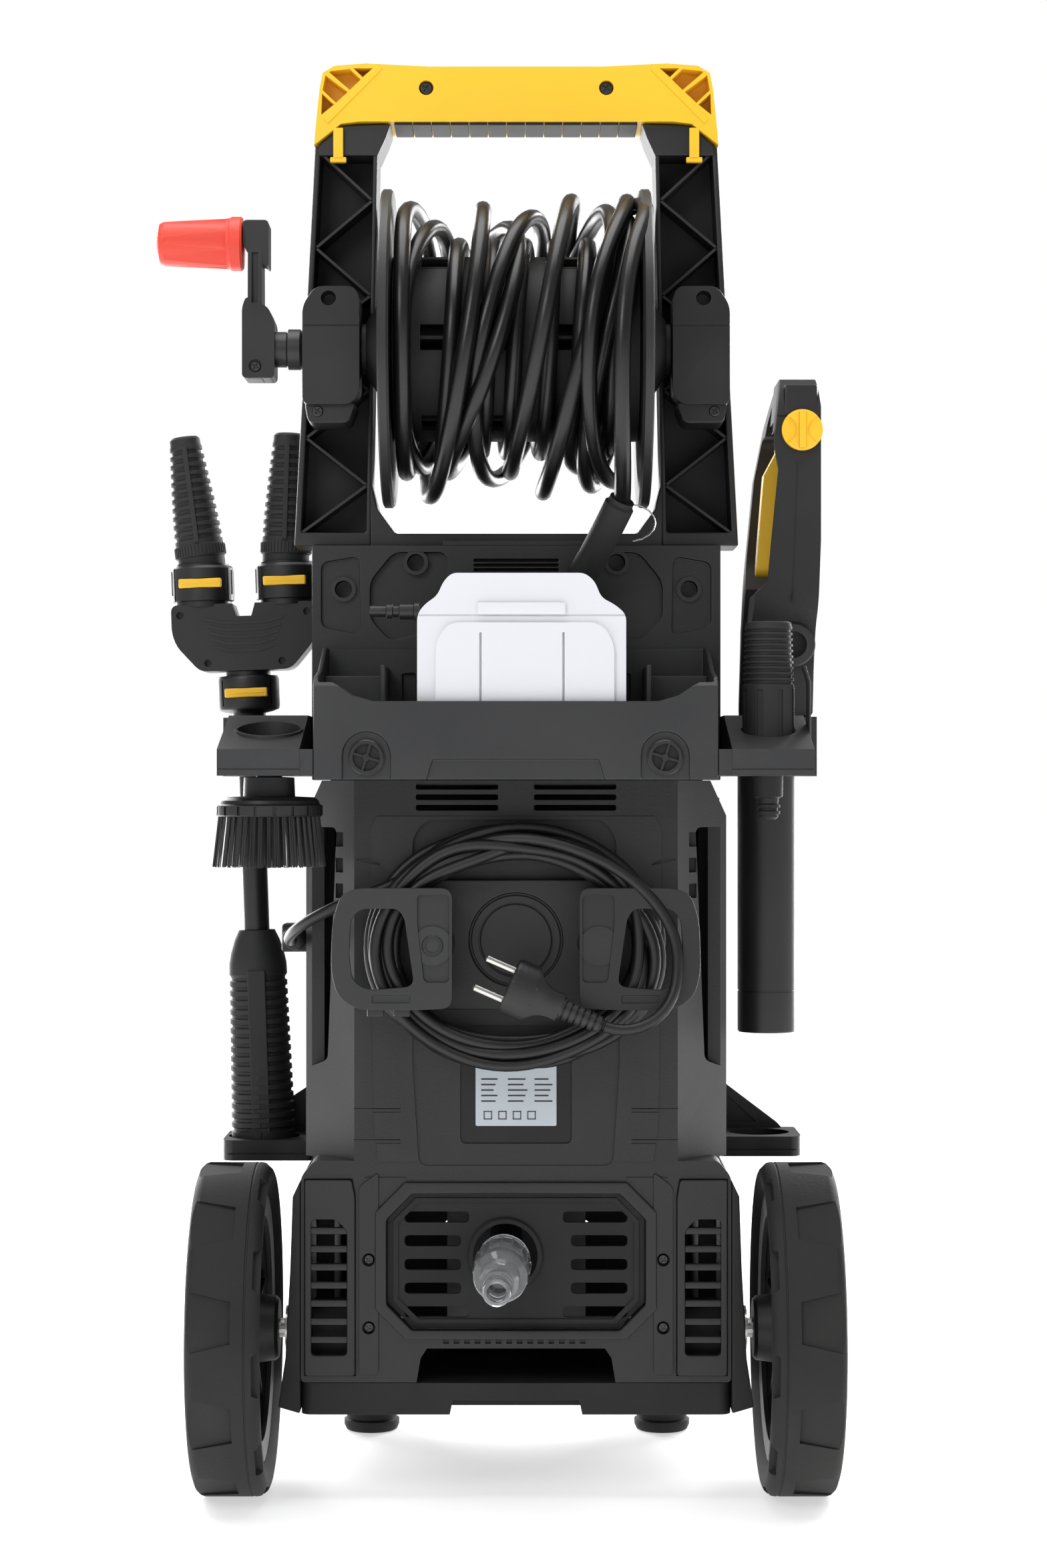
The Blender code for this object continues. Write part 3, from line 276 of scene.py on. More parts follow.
def settle(name, bm, finish_name, body, nodes=(), slot=None, smooth=32.0):
    """Makes bm a finished piece in its place, riding on a body and standing for the given CAD nodes."""
    slot = slot or SLOTS.get(finish_name)
    bmesh.ops.remove_doubles(bm, verts=bm.verts, dist=2e-6)
    bmesh.ops.dissolve_degenerate(bm, edges=bm.edges, dist=1e-6)
    bmesh.ops.translate(bm, verts=bm.verts, vec=(MID_X, 0, 0))
    mesh = bpy.data.meshes.new(name)
    bm.to_mesh(mesh)
    bm.free()
    mesh.shade_smooth()
    mesh.set_sharp_from_angle(angle=math.radians(smooth))
    mesh.materials.append(look(finish_name))
    obj = bpy.data.objects.new(name, mesh)
    bpy.context.collection.objects.link(obj)
    weighted = obj.modifiers.new("even shading", "WEIGHTED_NORMAL")
    weighted.keep_sharp = True
    if nodes:
        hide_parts(*nodes)
    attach(obj, body)
    return obj


# Finishes


def node(tree, kind, **settings):
    made = tree.nodes.new(kind)
    for name, value in settings.items():
        setattr(made, name, value)
    return made


def new_group(name, inputs, outputs):
    """An empty shader node group with the given sockets, and its input and output nodes."""
    group = bpy.data.node_groups.new(name, "ShaderNodeTree")
    for label, kind, default in inputs:
        socket = group.interface.new_socket(label, in_out="INPUT", socket_type=kind)
        socket.default_value = default
    for label, kind in outputs:
        group.interface.new_socket(label, in_out="OUTPUT", socket_type=kind)
    return group, node(group, "NodeGroupInput"), node(group, "NodeGroupOutput")


COLOUR, NUMBER = "NodeSocketColor", "NodeSocketFloat"


def grain_group():
    """Fine moulded grain with a slower ripple under it, as a height."""
    group, given, out = new_group("Moulded grain", [("Scale", NUMBER, 900.0), ("Ripple", NUMBER, 0.3)], [("Height",
        NUMBER)])
    place = node(group, "ShaderNodeTexCoord")
    fine = node(group, "ShaderNodeTexNoise")
    fine.inputs["Detail"].default_value = 2.0
    slow = node(group, "ShaderNodeTexNoise")
    slow.inputs["Scale"].default_value = 28.0
    both = node(group, "ShaderNodeMath", operation="MULTIPLY_ADD")
    link = group.links.new
    link(place.outputs["Object"], fine.inputs["Vector"])
    link(place.outputs["Object"], slow.inputs["Vector"])
    link(given.outputs["Scale"], fine.inputs["Scale"])
    link(slow.outputs["Fac"], both.inputs[0])
    link(given.outputs["Ripple"], both.inputs[1])
    link(fine.outputs["Fac"], both.inputs[2])
    link(both.outputs["Value"], out.inputs["Height"])
    return group


def rubbed_group():
    """A colour whose outer edges are rubbed lighter in places."""
    group, given, out = new_group("Rubbed edges", [("Colour", COLOUR, (0, 0, 0, 1)), ("Rubbed", COLOUR, (1, 1, 1, 1)),
        ("Amount", NUMBER, 0.3)], [("Colour", COLOUR), ("Mask", NUMBER)])
    shape = node(group, "ShaderNodeNewGeometry")
    edge = node(group, "ShaderNodeMapRange")
    edge.inputs["From Min"].default_value = 0.52
    edge.inputs["From Max"].default_value = 0.6
    place = node(group, "ShaderNodeTexCoord")
    patch = node(group, "ShaderNodeTexNoise")
    patch.inputs["Scale"].default_value = 60.0
    patch.inputs["Detail"].default_value = 4.0
    mask = node(group, "ShaderNodeMath", operation="MULTIPLY")
    much = node(group, "ShaderNodeMath", operation="MULTIPLY", use_clamp=True)
    mix = node(group, "ShaderNodeMix", data_type="RGBA")
    link = group.links.new
    link(shape.outputs["Pointiness"], edge.inputs["Value"])
    link(place.outputs["Object"], patch.inputs["Vector"])
    link(edge.outputs["Result"], mask.inputs[0])
    link(patch.outputs["Fac"], mask.inputs[1])
    link(mask.outputs["Value"], much.inputs[0])
    link(given.outputs["Amount"], much.inputs[1])
    link(much.outputs["Value"], mix.inputs["Factor"])
    link(given.outputs["Colour"], mix.inputs[6])
    link(given.outputs["Rubbed"], mix.inputs[7])
    link(mix.outputs[2], out.inputs["Colour"])
    link(much.outputs["Value"], out.inputs["Mask"])
    return group


def handled_group():
    """Faint dust and finger marks: a slow change of colour and of roughness."""
    group, given, out = new_group("Handled", [("Colour", COLOUR, (0, 0, 0, 1)), ("Dust", COLOUR, (0.3, 0.29, 0.27, 1)),
        ("Roughness", NUMBER, 0.5), ("Dusty", NUMBER, 0.02), ("Uneven", NUMBER, 0.12)], [("Colour", COLOUR),
        ("Roughness", NUMBER)])
    place = node(group, "ShaderNodeTexCoord")
    cloud = node(group, "ShaderNodeTexNoise")
    cloud.inputs["Scale"].default_value = 14.0
    cloud.inputs["Detail"].default_value = 5.0
    level = node(group, "ShaderNodeMapRange")
    level.inputs["From Min"].default_value = 0.35
    level.inputs["From Max"].default_value = 0.7
    dusty = node(group, "ShaderNodeMath", operation="MULTIPLY")
    mix = node(group, "ShaderNodeMix", data_type="RGBA")
    even = node(group, "ShaderNodeMath", operation="MULTIPLY_ADD")
    link = group.links.new
    link(place.outputs["Object"], cloud.inputs["Vector"])
    link(cloud.outputs["Fac"], level.inputs["Value"])
    link(level.outputs["Result"], dusty.inputs[0])
    link(given.outputs["Dusty"], dusty.inputs[1])
    link(dusty.outputs["Value"], mix.inputs["Factor"])
    link(given.outputs["Colour"], mix.inputs[6])
    link(given.outputs["Dust"], mix.inputs[7])
    link(level.outputs["Result"], even.inputs[0])
    link(given.outputs["Uneven"], even.inputs[1])
    link(given.outputs["Roughness"], even.inputs[2])
    link(mix.outputs[2], out.inputs["Colour"])
    link(even.outputs["Value"], out.inputs["Roughness"])
    return group


GROUPS = {"grain": grain_group, "rubbed": rubbed_group, "handled": handled_group}


def placed_group(tree, name):
    """A group node in a material's tree; the group itself is made the first time."""
    made = node(tree, "ShaderNodeGroup")
    label = {"grain": "Moulded grain", "rubbed": "Rubbed edges", "handled": "Handled"}[name]
    made.node_tree = bpy.data.node_groups.get(label) or GROUPS[name]()
    return made


def finish(name, colour, roughness, grain=900.0, depth=0.05, ripple=0.3, rub=0.25, dusty=0.02, uneven=0.1, lift=4.0,
    metallic=0.0, specular=0.5):
    """A moulded, rubber or metal finish built from the shared groups."""
    known = bpy.data.materials.get(name)
    if known:
        return known
    material = bpy.data.materials.new(name)
    material.use_nodes = True
    tree = material.node_tree
    shader = tree.nodes["Principled BSDF"]
    rubbed, handled, skin = (placed_group(tree, part) for part in ("rubbed", "handled", "grain"))
    rubbed.inputs["Colour"].default_value = (*colour, 1.0)
    rubbed.inputs["Rubbed"].default_value = (*[min(1.0, c * lift + 0.01) for c in colour], 1.0)
    rubbed.inputs["Amount"].default_value = rub
    handled.inputs["Roughness"].default_value = roughness
    handled.inputs["Dusty"].default_value = dusty
    handled.inputs["Uneven"].default_value = uneven
    skin.inputs["Scale"].default_value = grain
    skin.inputs["Ripple"].default_value = ripple
    bump = node(tree, "ShaderNodeBump")
    bump.inputs["Strength"].default_value = depth
    bump.inputs["Distance"].default_value = 0.001
    link = tree.links.new
    link(rubbed.outputs["Colour"], handled.inputs["Colour"])
    link(handled.outputs["Colour"], shader.inputs["Base Color"])
    link(handled.outputs["Roughness"], shader.inputs["Roughness"])
    link(skin.outputs["Height"], bump.inputs["Height"])
    link(bump.outputs["Normal"], shader.inputs["Normal"])
    shader.inputs["Metallic"].default_value = metallic
    shader.inputs["Specular IOR Level"].default_value = specular
    return material


def look(name):
    """The named finish of the washer, in the scene's colours."""
    hue = bpy.context.scene.washer_colours
    # The deep finish is painted shade: a darker plastic for inner, recessed and underside mouldings.
    return {"casing": lambda: finish("casing plastic", hue.black, 0.42, 700, 0.1), "smooth": lambda: finish(
        "smooth plastic", hue.black, 0.34, 1100, 0.04), "deep": lambda: finish("painted shade plastic", hue.deep, 0.6, 700,
        0.08, dusty=0.0), "tray": lambda: finish("tray plastic", hue.grey, 0.46, 800, 0.08), "grip": lambda: finish(
        "grip rubber", hue.black, 0.62, 500, 0.14, dusty=0.03), "yellow": lambda: finish("yellow plastic", hue.yellow,
        0.38, 1100, 0.03, rub=0.1, lift=1.15, dusty=0.0), "red": lambda: finish("red plastic", hue.red, 0.4, 900, 0.06,
        rub=0.15, lift=1.4, dusty=0.0), "tyre": lambda: finish("tyre rubber", hue.deep, 0.7, 420, 0.2, rub=0.35,
        lift=3.0, dusty=0.05), "cord": lambda: finish("cord rubber", hue.deep, 0.4, 1500, 0.05, rub=0.0, dusty=0.01),
        "hose": lambda: finish("hose rubber", hue.deep, 0.28, 1300, 0.08, rub=0.0, dusty=0.01),
        "bristle": lambda: finish("bristle nylon", (0.02, 0.02, 0.021), 0.5, 1500, 0.02, rub=0.0),
        "steel": lambda: finish("bright steel", (0.62, 0.61, 0.58), 0.22, 1800, 0.03, rub=0.0, dusty=0.0,
        metallic=1.0), "dark steel": lambda: finish("blackened steel", (0.06, 0.06, 0.062), 0.35, 1800, 0.05, rub=0.3,
        metallic=1.0), "bottle": lambda: finish("bottle plastic", hue.bottle, 0.38, 160, 0.05, rub=0.0, dusty=0.0,
        uneven=0.06), "label": lambda: finish("label film", hue.label, 0.35, 900, 0.01, rub=0.0, dusty=0.0),
        "ink": lambda: finish("label print", (0.03, 0.03, 0.035), 0.45, 900, 0.01, rub=0.0), "clear": clear_finish,}[
        name]()


def clear_finish():
    """Clear, faintly rippled moulded plastic."""
    known = bpy.data.materials.get("clear plastic")
    if known:
        return known
    material = bpy.data.materials.new("clear plastic")
    material.use_nodes = True
    tree = material.node_tree
    shader = tree.nodes["Principled BSDF"]
    shader.inputs["Base Color"].default_value = (0.93, 0.95, 0.96, 1.0)
    shader.inputs["Roughness"].default_value = 0.04
    shader.inputs["IOR"].default_value = 1.49
    shader.inputs["Transmission Weight"].default_value = 0.92
    skin = placed_group(tree, "grain")
    skin.inputs["Scale"].default_value = 260.0
    bump = node(tree, "ShaderNodeBump")
    bump.inputs["Strength"].default_value = 0.06
    bump.inputs["Distance"].default_value = 0.001
    tree.links.new(skin.outputs["Height"], bump.inputs["Height"])
    tree.links.new(bump.outputs["Normal"], shader.inputs["Normal"])
    return material


# Cords

LEAD_ROUTE = ((-0.1425, -0.0453, 0.346), (-0.1427, -0.056, 0.3462), (-0.1424, -0.068, 0.3475), (-0.1406, -0.083,
    0.3505), (-0.136, -0.0975, 0.355), (-0.128, -0.1095, 0.3605), (-0.117, -0.1165, 0.3665), (-0.104, -0.1195, 0.373),
    (-0.0915, -0.12, 0.3785),)
TAIL_ROUTE = ((0.0532, -0.1535, 0.2992), (0.0622, -0.1533, 0.297), (0.0717, -0.1528, 0.2976), (0.0805, -0.1519,
    0.3009), (0.088, -0.1505, 0.3067), (0.0935, -0.1489, 0.3144), (0.0965, -0.1469, 0.3233), (0.097, -0.1455, 0.3289),)
SLEEVE_ROUTE = ((0.066, -0.088, 0.622), (0.059, -0.0805, 0.608), (0.05, -0.069, 0.591), (0.041, -0.0585, 0.576),
    (0.033, -0.0495, 0.564))
COIL_CENTRE = (0.0, -0.121, 0.345)
COIL_AXES = (0.083, 0.065)
COIL_ROOM = (0.007, 0.0098)
PLUG_TIP = (-0.0217, -0.1535, 0.3319)
PLUG_DROP = math.radians(23.6)
REEL = centre_of("reel_drum")


def smooth_route(points, step):
    """Points about a step apart along a Catmull-Rom curve through the given ones."""
    ends = [Vector(point) for point in points]
    ends = [ends[0] * 2 - ends[1], *ends, ends[-1] * 2 - ends[-2]]
    fine = [ends[1]]
    for a, b, c, d in zip(ends, ends[1:], ends[2:], ends[3:]):
        for number in range(1, 13):
            t = number / 12
            fine.append(0.5 * (b * 2 + (c - a) * t + (a * 2 - b * 5 + c * 4 - d) * t**2 + (b * 3 - a - c * 3 + d)
                * t**3))
    length = sum((b - a).length for a, b in zip(fine, fine[1:]))
    count = max(2, round(length / step))
    route, walked, wanted = [fine[0]], 0.0, length / count
    for a, b in zip(fine, fine[1:]):
        while walked + (b - a).length >= wanted and len(route) < count:
            route.append(a.lerp(b, (wanted - walked) / (b - a).length))
            wanted += length / count
        walked += (b - a).length
    return route + [fine[-1]]


def settled_turns(points, thickness, hold, turns, bend, rounds):
    """Pushes turns that lie in each other apart, and keeps bends as wide as bend and the turns where hold allows."""
    run = np.array([tuple(point) for point in points])
    home = run.copy()
    order = np.arange(len(run))
    apart = np.abs(order[:, None] - order[None, :]) > 6
    pull = (0.004 + 0.5 * np.clip(1 - np.minimum(order, order[::-1]) / 16, 0, 1))[:, None]
    for number in range(rounds + 60):
        push = np.zeros_like(run)
        if number < rounds:
            between = run[:, None, :] - run[None, :, :]
            far = np.sqrt((between**2).sum(axis=2)) + 1e-9
            short = np.where(apart & (far < thickness), (thickness - far) / far * 0.35, 0.0)
            push = np.clip((between * short[:, :, None]).sum(axis=1), -0.002, 0.002)
        even = np.zeros_like(run)
        even[2:-2] = ((run[1:-3] + run[3:-1]) * 4 - run[:-4] - run[4:]) / 6 - run[2:-2]
        fresh = run + push + even * 0.5 + (home - run) * pull
        fresh[turns] = hold(fresh)[turns]
        sides = np.linalg.norm(np.diff(fresh, axis=0), axis=1)
        curl = fresh[:-2] + fresh[2:] - 2 * fresh[1:-1]
        size = np.linalg.norm(curl, axis=1) + 1e-9
        allowed = ((sides[:-1] + sides[1:]) / 2)**2 / bend
        fresh[1:-1] += curl * (np.maximum(0.0, 1 - allowed / size) * 0.45)[:, None]
        fresh[:2], fresh[-2:] = home[:2], home[-2:]
        run = fresh
    return [Vector(point) for point in run]


def cord_piece(name, points, diameter, material, body, nodes):
    """A round cord along points given in the machine's frame."""
    curve = bpy.data.curves.new(name, "CURVE")
    curve.dimensions = "3D"
    curve.bevel_depth = diameter / 2
    curve.bevel_resolution = 4
    curve.use_fill_caps = True
    spline = curve.splines.new("POLY")
    spline.points.add(len(points) - 1)
    for point, place in zip(spline.points, points):
        point.co = (place[0] + MID_X, place[1], place[2], 1.0)
    spline.use_smooth = True
    curve.materials.append(material)
    obj = bpy.data.objects.new(name, curve)
    bpy.context.collection.objects.link(obj)
    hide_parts(*nodes)
    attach(obj, body)
    return obj


def wound_mains(turns, thickness):
    """The mains cord from its gland, round both hooks and on to the plug."""
    across, along = COIL_AXES
    room, deep = COIL_ROOM
    entry = Vector(LEAD_ROUTE[-1])
    leave = Vector(TAIL_ROUTE[-1])
    start = math.atan2((entry.z - COIL_CENTRE[2]) / along, (entry.x - COIL_CENTRE[0]) / across)
    stop = math.atan2((leave.z - COIL_CENTRE[2]) / along, (leave.x - COIL_CENTRE[0]) / across)
    sweep = (start - stop) % math.tau + math.tau * (turns - 1)
    steps = round(sweep * 0.074 / (thickness * 0.85))
    wound = []
    for number in range(1, steps):
        t = number / steps
        angle = start - sweep * t
        turn = sweep * t / math.tau
        drift = noise.noise(Vector((turn * 0.9, 3.1, 0.0)))
        wave = noise.noise(Vector((math.cos(angle), math.sin(angle), turn * 1.3)))
        out = room * max(-1.0, min(1.0, 1.5 * drift + 0.9 * wave))
        back = deep * math.cos(math.tau * turn / 4.6 + wave)
        ease = min(1.0, t * steps / 40, (1 - t) * steps / 40)
        wide = 0.0162 * max(0.0, 1 - (1 - t) * steps / 34)**1.6
        wound.append(Vector((COIL_CENTRE[0] + (across + out * ease + wide) * math.cos(angle), COIL_CENTRE[1] + back
            * ease + (entry.y - COIL_CENTRE[1]) * max(0.0, 1 - t * steps / 40) + (leave.y - COIL_CENTRE[1])
            * max(0.0, 1 - (1 - t) * steps / 40), COIL_CENTRE[2] + (along + out * ease) * math.sin(angle))))
    lead = smooth_route(LEAD_ROUTE, thickness * 0.85)
    tail = smooth_route(list(reversed(TAIL_ROUTE)), thickness * 0.85)

    def hold(run):
        x, z = run[:, 0] - COIL_CENTRE[0], run[:, 2] - COIL_CENTRE[2]
        angle = np.arctan2(z / along, x / across)
        size = np.hypot(x, z) / np.hypot(across * np.cos(angle), along * np.sin(angle))
        middle = np.hypot(across * np.cos(angle), along * np.sin(angle))
        kept = np.clip(size * middle, middle - room - 0.003, middle + room + 0.003) / np.maximum(np.hypot(x, z), 1e-6)
        held_run = run.copy()
        held_run[:, 0] = COIL_CENTRE[0] + x * kept
        held_run[:, 2] = COIL_CENTRE[2] + z * kept
        held_run[:, 1] = np.clip(run[:, 1], COIL_CENTRE[1] - deep, COIL_CENTRE[1] + deep)
        return held_run

    turns = slice(len(lead) + 4, len(lead) + len(wound) - 34)
    return settled_turns(lead + wound + tail, thickness * 1.02, hold, turns, 0.042, 90)


def wound_hose(thickness):
    """The hose on its drum: an even first layer, then loose slanting loops back over it."""
    low, high = span("hose_coil")
    half = (high.x - low.x) / 2 - thickness / 2
    inner = 0.065
    outer = 0.0925
    turns, pitch = 16.7, thickness * 0.8
    steps = round(turns * math.tau * 0.075 / pitch)
    leave = Vector(SLEEVE_ROUTE[0])
    last = math.atan2(leave.z - REEL.z, leave.y - REEL.y)
    run = []
    for number in range(steps + 1):
        t = number / steps
        turn = turns * (1 - t)
        angle = last - turn * math.tau
        layer = min(2.0, t * 2.35)
        if layer < 1.0:
            along = half * (1 - 2 * layer)
        else:
            along = -half + 2 * half * (layer - 1.0)
        loose = min(1.0, max(0.0, (layer - 0.75) * 3))
        slant = 0.026 * loose * math.sin(angle + 2.4 * noise.noise(Vector((turn * 0.45, 7.7, 0.0))))
        drift = 0.5 + 0.9 * noise.noise(Vector((turn * 0.8, 1.7, math.sin(angle) * 0.4)))
        radius = inner + (outer - inner) * loose * max(0.25, min(1.0, drift + 0.25))
        along += slant + 0.004 * noise.noise(Vector((turn * 1.7, 0.3, 5.0)))
        edge = min(1.0, (1 - t) * steps / 30)
        edge *= edge * (3 - 2 * edge)
        along = along * edge + leave.x * (1 - edge)
        radius = radius * edge + 0.1051 * (1 - edge)
        run.append(Vector((REEL.x + along, REEL.y + radius * math.cos(angle), REEL.z + radius * math.sin(angle))))

    def hold(run):
        y, z = run[:, 1] - REEL.y, run[:, 2] - REEL.z
        far = np.hypot(y, z)
        kept = np.clip(far, inner, outer) / np.maximum(far, 1e-6)
        held_run = run.copy()
        held_run[:, 0] = np.clip(run[:, 0], REEL.x - half, REEL.x + half)
        held_run[:, 1] = REEL.y + y * kept
        held_run[:, 2] = REEL.z + z * kept
        return held_run

    return settled_turns(run, thickness * 1.01, hold, slice(0, len(run) - 24), 0.046, 110)


def build_cords(context):
    sizes = context.scene.washer_sizes
    mains = wound_mains(sizes.cord_turns, sizes.cord_diameter)
    cable = cord_piece("mains_cord", mains, sizes.cord_diameter, look("cord"), "root", ["cord_lead", "cord_coil",
        "cord_tail"])
    wound = wound_hose(sizes.hose_diameter)
    hose = cord_piece("pressure_hose", wound, sizes.hose_diameter, look("hose"), "reel", ["hose_coil"])
    stub = smooth_route(SLEEVE_ROUTE, 0.004)
    inner_hose = cord_piece("hose_end_core", stub, sizes.hose_diameter, look("hose"), "root", ["hose_end"])


class WASHER_OT_cords(bpy.types.Operator):
    """The mains cord on its hooks and the hose on its reel"""

    bl_idname = "washer.cords"
    bl_label = "Cords and hose"

    def execute(self, context):
        build_cords(context)
        return {"FINISHED"}


# Stage


def area_light(name, place, aim, size, power, colour=(1, 1, 1)):
    lamp = bpy.data.lights.new(name, "AREA")
    lamp.shape = "RECTANGLE"
    lamp.size, lamp.size_y = size
    lamp.energy = power
    lamp.color = colour
    obj = bpy.data.objects.new(name, lamp)
    bpy.context.collection.objects.link(obj)
    obj.location = place
    obj.rotation_euler = (Vector(aim) - Vector(place)).to_track_quat("-Z", "Y").to_euler()
    return obj


def stage_finish():
    material = bpy.data.materials.new("stage floor")
    material.use_nodes = True
    tree = material.node_tree
    shader = tree.nodes["Principled BSDF"]
    place = node(tree, "ShaderNodeTexCoord")
    cloud = node(tree, "ShaderNodeTexNoise")
    cloud.inputs["Scale"].default_value = 0.7
    tint = node(tree, "ShaderNodeMix", data_type="RGBA")
    tint.inputs[6].default_value = (0.9, 0.9, 0.9, 1.0)
    tint.inputs[7].default_value = (0.94, 0.94, 0.94, 1.0)
    tree.links.new(place.outputs["Object"], cloud.inputs["Vector"])
    tree.links.new(cloud.outputs["Fac"], tint.inputs["Factor"])
    tree.links.new(tint.outputs[2], shader.inputs["Base Color"])
    shader.inputs["Roughness"].default_value = 0.45
    # The floor's emission is painted light: it glows dimmer near the machine, deepening the shade round it, and
    # brighter further out so the far floor reads white.
    far = node(tree, "ShaderNodeVectorMath", operation="LENGTH")
    painted_glow = node(tree, "ShaderNodeMapRange")
    for name, value in (("From Min", 0.35), ("From Max", 1.9), ("To Min", 0.55), ("To Max", 0.8)):
        painted_glow.inputs[name].default_value = value
    tree.links.new(place.outputs["Object"], far.inputs[0])
    tree.links.new(far.outputs["Value"], painted_glow.inputs["Value"])
    tree.links.new(painted_glow.outputs[0], shader.inputs["Emission Color"])
    shader.inputs["Emission Strength"].default_value = 1.0
    return material


def build_stage(context):
    scene = context.scene
    view = bpy.data.cameras.new("camera")
    view.lens = 73.1
    view.sensor_width = 36.0
    camera = bpy.data.objects.new("camera", view)
    bpy.context.collection.objects.link(camera)
    camera.location = (0.0199, -2.0665, 0.445)
    camera.rotation_euler = (math.pi / 2, 0.0, 0.0)
    scene.camera = camera

    bm = bmesh.new()
    bmesh.ops.create_grid(bm, x_segments=8, y_segments=8, size=30.0)
    bmesh.ops.translate(bm, verts=bm.verts, vec=(0, 0, -0.0002))
    mesh = bpy.data.meshes.new("floor")
    bm.to_mesh(mesh)
    bm.free()
    mesh.materials.append(stage_finish())
    floor = bpy.data.objects.new("floor", mesh)
    bpy.context.collection.objects.link(floor)

    world = bpy.data.worlds.new("studio")
    scene.world = world
    world.use_nodes = True
    tree = world.node_tree
    sky = tree.nodes["Background"]
    sky.inputs["Color"].default_value = (1.0, 1.0, 1.0, 1.0)
    sky.inputs["Strength"].default_value = 0.34
    seen = node(tree, "ShaderNodeBackground")
    seen.inputs["Color"].default_value = (1.0, 1.0, 1.0, 1.0)
    seen.inputs["Strength"].default_value = 1.0
    ray = node(tree, "ShaderNodeLightPath")
    mix = node(tree, "ShaderNodeMixShader")
    tree.links.new(ray.outputs["Is Camera Ray"], mix.inputs["Fac"])
    tree.links.new(sky.outputs[0], mix.inputs[1])
    tree.links.new(seen.outputs[0], mix.inputs[2])
    tree.links.new(mix.outputs[0], tree.nodes["World Output"].inputs["Surface"])
    scene.view_settings.view_transform = "Standard"

    middle = (MID_X, 0.0, 0.45)
    area_light("left strip", (-0.95, 1.45, 0.75), middle, (0.8, 1.8), 46)
    area_light("right strip", (1.05, 1.45, 0.75), middle, (0.8, 1.8), 46)
    area_light("top", (0.0, -0.2, 2.3), middle, (1.6, 1.6), 30)
    area_light("key", (-1.0, -2.1, 1.7), middle, (1.0, 1.0), 15)


class WASHER_OT_stage(bpy.types.Operator):
    """Pale floor, soft light and the camera"""

    bl_idname = "washer.stage"
    bl_label = "Stage"

    def execute(self, context):
        build_stage(context)
        return {"FINISHED"}


# Small shapes that several pieces share


def cross_screw(place, radius=0.0042, depth=0.0016):
    """A pan head with a cross recess, facing the rear, its outer face at place."""
    x, y, z = place
    head = rod("Y", (x, 0, z), radius * 0.82, y, y + depth, 20, radius, 0.0004)
    slots = [block((x - radius * 0.6, x + radius * 0.6), (y - 0.001, y + depth * 0.7), (z - 0.0005, z + 0.0005)),
        block((x - 0.0005, x + 0.0005), (y - 0.001, y + depth * 0.7), (z - radius * 0.6, z + radius * 0.6))]
    tilt = Matrix.Translation((x, y, z)) @ Matrix.Rotation(0.6, 4, "Y") @ Matrix.Translation((-x, -y, -z))
    return carved(head, cuts=[moved(slot, tilt) for slot in slots])


def strut(start, end, thickness, low, high):
    """A thin rib in the XZ plane from start to end, drawn along Y from low to high."""
    (x1, z1), (x2, z2) = start, end
    side = Vector((z1 - z2, x2 - x1)).normalized() * thickness / 2
    return prism("XZ", [(x1 + side.x, z1 + side.y), (x2 + side.x, z2 + side.y), (x2 - side.x, z2 - side.y),
        (x1 - side.x, z1 - side.y)], low, high)


def ring_of(shape, count, axis, centre, start=0.0):
    """count copies of shape round the axis through centre."""
    line = Vector([letter == axis for letter in "XYZ"])
    around = []
    for number in range(count):
        copy = shape.copy()
        turn = Matrix.Rotation(start + math.tau * number / count, 4, line)
        moved(copy, Matrix.Translation(centre) @ turn @ Matrix.Translation(-Vector(centre)))
        around.append(copy)
    shape.free()
    return together(*around)


# Handle and reel


